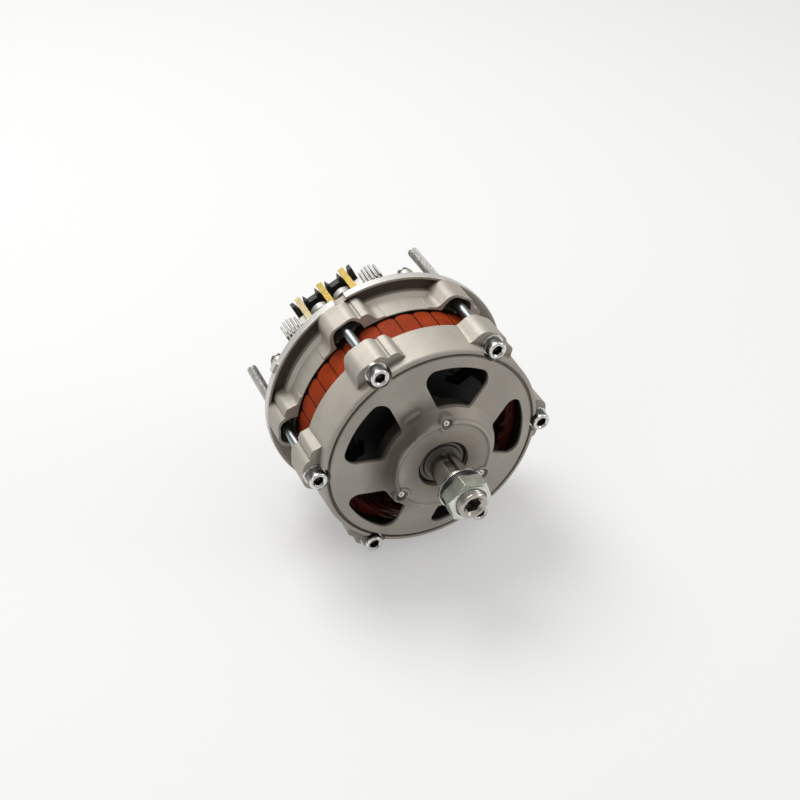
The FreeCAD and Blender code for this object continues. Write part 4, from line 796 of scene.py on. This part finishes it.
class ALTERNATOR_OT_through_bolts(bpy.types.Operator):
    """Socket-head through bolts, two of them running on as threaded studs behind the flange"""
    bl_idname = "alternator.through_bolts"
    bl_label = "Through bolts"

    def execute(self, context):
        settings = context.scene.alternator_threads
        columns = 48
        hexagon = hexagon_radius(5.0, columns)
        head = [
            (0.3, -60.55), (1.9, -60.6), (hexagon * 0.96, -60.9), (hexagon, -61.2), (hexagon, -64.1),
            (3.35, -64.7), (3.6, -64.88), (4.1, -64.9), (4.5, -64.78), (4.82, -64.46), (4.97, -64.0),
            (5.0, -63.6), (5.0, -59.2), (4.85, -58.95), (2.7, -58.92), (2.65, BOLT_HEAD_Y),
        ]
        for name, node, clocks, tip in (
            ("through_bolts_plain", "through_bolts", (-30, 90, 150, 210), -0.9),
            ("through_bolts_with_studs", "cover_stud_bolts", (-90, 30), 39.4),
        ):
            start = STUD_FOOT_Y if tip > 0 else -12.0
            crest = 2.93 if tip > 0 else 2.88
            radii, heights = thread_rows(start * MM, (tip - 0.6) * MM, crest * MM, settings.pitch, settings.depth,
                                         columns)
            rows = [*head, (2.65, start - 0.6), *zip(radii / MM, heights / MM), (2.45, tip - 0.25), (1.6, tip)]
            points = spun(rows, columns)
            grids = [(clock_place(points, clock, BOLT_CIRCLE_R * MM), True, True, True) for clock in clocks]
            made = grid_mesh(name, grids, "zinc")
            paint_beyond(made, BOLT_CROWN_Y * MM, "dark_zinc")
            paint_beyond(made, BOLT_HEAD_Y * MM, "shank_zinc")
            paint_beyond(made, STUD_FOOT_Y * MM, "stud_zinc")
            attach(made, "frame")
            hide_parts(node)
        return {"FINISHED"}


class ALTERNATOR_OT_terminal_studs(bpy.types.Operator):
    """Threaded output stud on the heat sink and field terminal on the regulator, with their hexagons"""
    bl_idname = "alternator.terminal_studs"
    bl_label = "Terminal studs"

    def execute(self, context):
        settings = context.scene.alternator_threads
        columns = 48
        pitch = 1.25 * MM
        wide = hexagon_radius(12.0, columns)
        crest, heights = thread_rows(22.3 * MM, 35.2 * MM, 3.93 * MM, pitch, 0.62 * MM, columns)
        rows = [
            (0.2, 8.5), (5.6, 8.5), (wide * 0.985, 8.9), (wide, 9.2), (wide, 11.9), (3.6, 11.95), (3.6, 22.0),
            *zip(crest / MM, heights / MM), (3.4, 35.6), (2.9, 35.95), (2.5, 36.0),
        ]
        points = rectifier_place(spun(rows, columns), *OUTPUT_STUD_PLACE)
        output = grid_mesh("output_stud_threaded", [(points, True, True, True)], "zinc")
        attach(output, "frame")
        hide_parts("output_stud")

        narrow = hexagon_radius(7.8, columns)
        fine = settings.pitch * 0.8
        crest, heights = thread_rows(33.5 * MM, 39.5 * MM, 2.44 * MM, fine, 0.42 * MM, columns)
        rows = [
            (0.2, 29.02), (3.9, 29.02), (narrow * 0.97, 29.3), (narrow, 29.5), (narrow, 32.9),
            (narrow * 0.97, 33.1), (3.7, 33.38), (2.5, 33.4), *zip(crest / MM, heights / MM), (2.1, 39.8),
            (1.5, 39.98),
        ]
        points = clock_place(spun(rows, columns), 180, FIELD_TERMINAL_R * MM)
        field = grid_mesh("field_terminal_threaded", [(points, True, True, True)], "zinc")
        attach(field, "frame")
        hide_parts("field_terminal")
        return {"FINISHED"}


class ALTERNATOR_OT_diodes(bpy.types.Operator):
    """Knurled press-fit diodes with a domed bead and a round lead"""
    bl_idname = "alternator.diodes"
    bl_label = "Diodes"

    def execute(self, context):
        columns = 96
        for name, node, radius, foot, top, lead, places in (
            ("diodes_positive", "positive_diodes", 5.2, 9.5, 18.0, 22.0, POSITIVE_DIODE_PLACES),
            ("diodes_negative", "negative_diodes", 5.4, -0.38, 5.0, 8.4, NEGATIVE_DIODE_PLACES),
        ):
            ridged = knurled_radius(radius - 0.02, 0.28, 32, columns)
            rows = [
                (0.3, foot), (radius - 1.1, foot), (radius - 0.6, foot + 0.15), (radius - 0.35, foot + 0.5),
                (ridged, foot + 0.75), (ridged, top - 1.5), (radius - 0.4, top - 1.3),
                (radius - 0.45, top - 0.35), (radius - 0.8, top), (radius * 0.70, top),
                (radius * 0.62, top - 0.35), (radius * 0.58, top - 0.3), (radius * 0.5, top + 0.45),
                (radius * 0.34, top + 0.95), (1.1, top + 1.15), (0.8, top + 1.2), (0.8, lead - 0.6),
                (0.95, lead - 0.45), (0.95, lead - 0.12), (0.7, lead),
            ]
            points = spun(rows, columns)
            grids = [(rectifier_place(points, u, v), True, True, True) for u, v in places]
            made = grid_mesh(name, grids, "diode_can")
            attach(made, "frame")
            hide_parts(node)
        return {"FINISHED"}


class ALTERNATOR_OT_capacitor(bpy.types.Operator):
    """Drawn capacitor can with a beaded seal and a rolled edge"""
    bl_idname = "alternator.capacitor"
    bl_label = "Capacitor"

    def execute(self, context):
        columns = 72
        rows = [
            (0.4, 3.25), (5.6, 3.2), (6.4, 3.02), (7.2, 3.1), (7.75, 3.5), (7.98, 4.1), (7.98, 25.2),
            (7.8, 25.6), (7.45, 26.0), (7.35, 26.4), (7.45, 26.8), (7.8, 27.2), (7.98, 27.6), (7.98, 29.2),
            (7.8, 29.75), (7.3, 30.0), (6.9, 29.8), (6.75, 29.3), (6.7, 28.9), (2.4, 28.8), (2.2, 29.6),
            (1.7, 29.95), (0.4, 29.98),
        ]
        clock = math.degrees(math.atan2(*CAPACITOR_PLACE))
        points = clock_place(spun(rows, columns), clock, math.hypot(*CAPACITOR_PLACE) * MM)
        made = grid_mesh("capacitor_crimped_can", [(points, True, True, True)], "capacitor_can")
        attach(made, "frame")
        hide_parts("suppression_capacitor")
        return {"FINISHED"}


class ALTERNATOR_OT_brush_springs(bpy.types.Operator):
    """Coil springs behind the brushes"""
    bl_idname = "alternator.brush_springs"
    bl_label = "Brush springs"

    def execute(self, context):
        for name, node, joint in (
            ("spring_coils_front", "brush_spring_front", "front_brush_slide"),
            ("spring_coils_rear", "brush_spring_rear", "rear_brush_slide"),
        ):
            low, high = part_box(node)
            foot = SPRING_FOOT_Z * MM
            points = coil_spring((low.y + high.y) / 2, foot, SPRING_LENGTH * MM, 1.9 * MM, 0.3 * MM, 10)
            made = grid_mesh(name, [(points, True, True, True)], "steel")
            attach(made, "frame")
            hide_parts(node)
            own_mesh(made)
        return {"FINISHED"}


class ALTERNATOR_OT_stage(bpy.types.Operator):
    """Camera, soft lamps and a pale floor"""
    bl_idname = "alternator.stage"
    bl_label = "Stage"

    def execute(self, context):
        settings = context.scene.alternator_studio
        scene = context.scene
        camera = bpy.data.objects.new("camera", bpy.data.cameras.new("camera"))
        scene.collection.objects.link(camera)
        camera.data.lens = settings.focal_length
        camera.data.sensor_width = 36.0
        camera.data.clip_start = 0.01
        turn = Matrix.Rotation(-settings.heading, 3, "Z") @ Matrix.Rotation(math.pi / 2 - settings.dip, 3, "X")
        turn = turn @ Matrix.Rotation(settings.roll, 3, "Z")
        camera.matrix_world = Matrix.Translation(settings.eye) @ turn.to_4x4()
        scene.camera = camera

        floor_mesh = bpy.data.meshes.new("floor")
        reach = 6.0
        corners = [(-reach, -reach), (reach, -reach), (reach, reach), (-reach, reach)]
        floor_mesh.from_pydata([(x, y, settings.floor) for x, y in corners], [], [(0, 1, 2, 3)])
        floor = bpy.data.objects.new("floor", floor_mesh)
        scene.collection.objects.link(floor)
        floor_mesh.materials.append(pale_floor())

        for name, place, size, power in (
            ("key_lamp", (-0.28, 0.62, 1.25), 0.9, settings.key),
            ("left_fill_lamp", (-1.2, -0.5, 0.45), 0.7, settings.fill),
            ("right_fill_lamp", (1.2, -0.7, 0.6), 0.7, settings.fill * 1.6),
        ):
            data = bpy.data.lights.new(name, "AREA")
            data.shape = "DISK"
            data.size = size
            data.energy = power
            lamp = bpy.data.objects.new(name, data)
            scene.collection.objects.link(lamp)
            lamp.location = place
            lamp.rotation_euler = (-Vector(place)).to_track_quat("-Z", "Y").to_euler()
        scene.world = soft_sky(settings.sky, settings.horizon)
        scene.view_settings.view_transform = "Standard"
        return {"FINISHED"}


def soft_sky(overhead, sides):
    """Soft light from all round that is stronger overhead than at the sides."""
    world = bpy.data.worlds.new("studio")
    world.use_nodes = True
    tree = world.node_tree
    direction = tree.nodes.new("ShaderNodeTexCoord")
    parts = tree.nodes.new("ShaderNodeSeparateXYZ")
    tree.links.new(direction.outputs["Generated"], parts.inputs[0])
    level = tree.nodes.new("ShaderNodeMapRange")
    level.interpolation_type = "SMOOTHSTEP"
    for key, number in (("From Min", 0.10), ("From Max", 0.85), ("To Min", sides), ("To Max", overhead)):
        level.inputs[key].default_value = number
    tree.links.new(parts.outputs["Z"], level.inputs["Value"])
    background = tree.nodes["Background"]
    background.inputs["Color"].default_value = (1.0, 0.985, 0.96, 1.0)
    tree.links.new(level.outputs["Result"], background.inputs["Strength"])
    return world


def pale_floor():
    """White floor that keeps the shadow: what the camera, gloss or glass sees of it is lifted towards white."""
    material = bpy.data.materials.new("pale_floor")
    material.use_nodes = True
    tree = material.node_tree
    tree.nodes.clear()
    path = tree.nodes.new("ShaderNodeLightPath")
    seen = path.outputs["Is Camera Ray"]
    for ray in ("Is Glossy Ray", "Is Transmission Ray"):
        either = tree.nodes.new("ShaderNodeMath")
        either.operation = "MAXIMUM"
        tree.links.new(seen, either.inputs[0])
        tree.links.new(path.outputs[ray], either.inputs[1])
        seen = either.outputs[0]
    diffuse = tree.nodes.new("ShaderNodeBsdfDiffuse")
    diffuse.inputs["Color"].default_value = (0.42, 0.42, 0.42, 1)
    glow = tree.nodes.new("ShaderNodeEmission")
    glow.inputs["Strength"].default_value = 0.34
    both = tree.nodes.new("ShaderNodeAddShader")
    tree.links.new(diffuse.outputs[0], both.inputs[0])
    tree.links.new(glow.outputs[0], both.inputs[1])
    pick = tree.nodes.new("ShaderNodeMixShader")
    tree.links.new(seen, pick.inputs[0])
    tree.links.new(diffuse.outputs[0], pick.inputs[1])
    tree.links.new(both.outputs[0], pick.inputs[2])
    out = tree.nodes.new("ShaderNodeOutputMaterial")
    tree.links.new(pick.outputs[0], out.inputs["Surface"])
    return material


OPERATORS = (
    ALTERNATOR_OT_finishes, ALTERNATOR_OT_windings, ALTERNATOR_OT_field_coil, ALTERNATOR_OT_through_bolts,
    ALTERNATOR_OT_terminal_studs, ALTERNATOR_OT_diodes, ALTERNATOR_OT_capacitor, ALTERNATOR_OT_brush_springs,
    ALTERNATOR_OT_stage,
)


class ALTERNATOR_PT_panel(bpy.types.Panel):
    """The alternator's settings and pieces"""
    bl_label = "Alternator"
    bl_idname = "ALTERNATOR_PT_panel"
    bl_space_type = "VIEW_3D"
    bl_region_type = "UI"
    bl_category = "Alternator"

    def draw(self, context):
        scene = context.scene
        for group in SETTINGS:
            settings = getattr(scene, group)
            for key in settings.__annotations__:
                self.layout.prop(settings, key)
        for operator in OPERATORS:
            self.layout.operator(operator.bl_idname)


SETTINGS = {
    "alternator_finishes": FinishSettings,
    "alternator_windings": WindingSettings,
    "alternator_threads": ThreadSettings,
    "alternator_studio": StudioSettings,
}


def register():
    """Registers the settings, operators and panel."""
    for entry in (*SETTINGS.values(), *OPERATORS, ALTERNATOR_PT_panel):
        bpy.utils.register_class(entry)
    for key, group in SETTINGS.items():
        setattr(bpy.types.Scene, key, PointerProperty(type=group))


def unregister():
    """Takes them off again."""
    for key in SETTINGS:
        delattr(bpy.types.Scene, key)
    for entry in (ALTERNATOR_PT_panel, *reversed(OPERATORS), *reversed(SETTINGS.values())):
        bpy.utils.unregister_class(entry)


def main():
    """Makes every piece in order."""
    register()
    bpy.ops.alternator.finishes()
    bpy.ops.alternator.windings()
    bpy.ops.alternator.field_coil()
    bpy.ops.alternator.through_bolts()
    bpy.ops.alternator.terminal_studs()
    bpy.ops.alternator.diodes()
    bpy.ops.alternator.capacitor()
    bpy.ops.alternator.brush_springs()
    bpy.ops.alternator.stage()


if __name__ == "__main__":
    main()
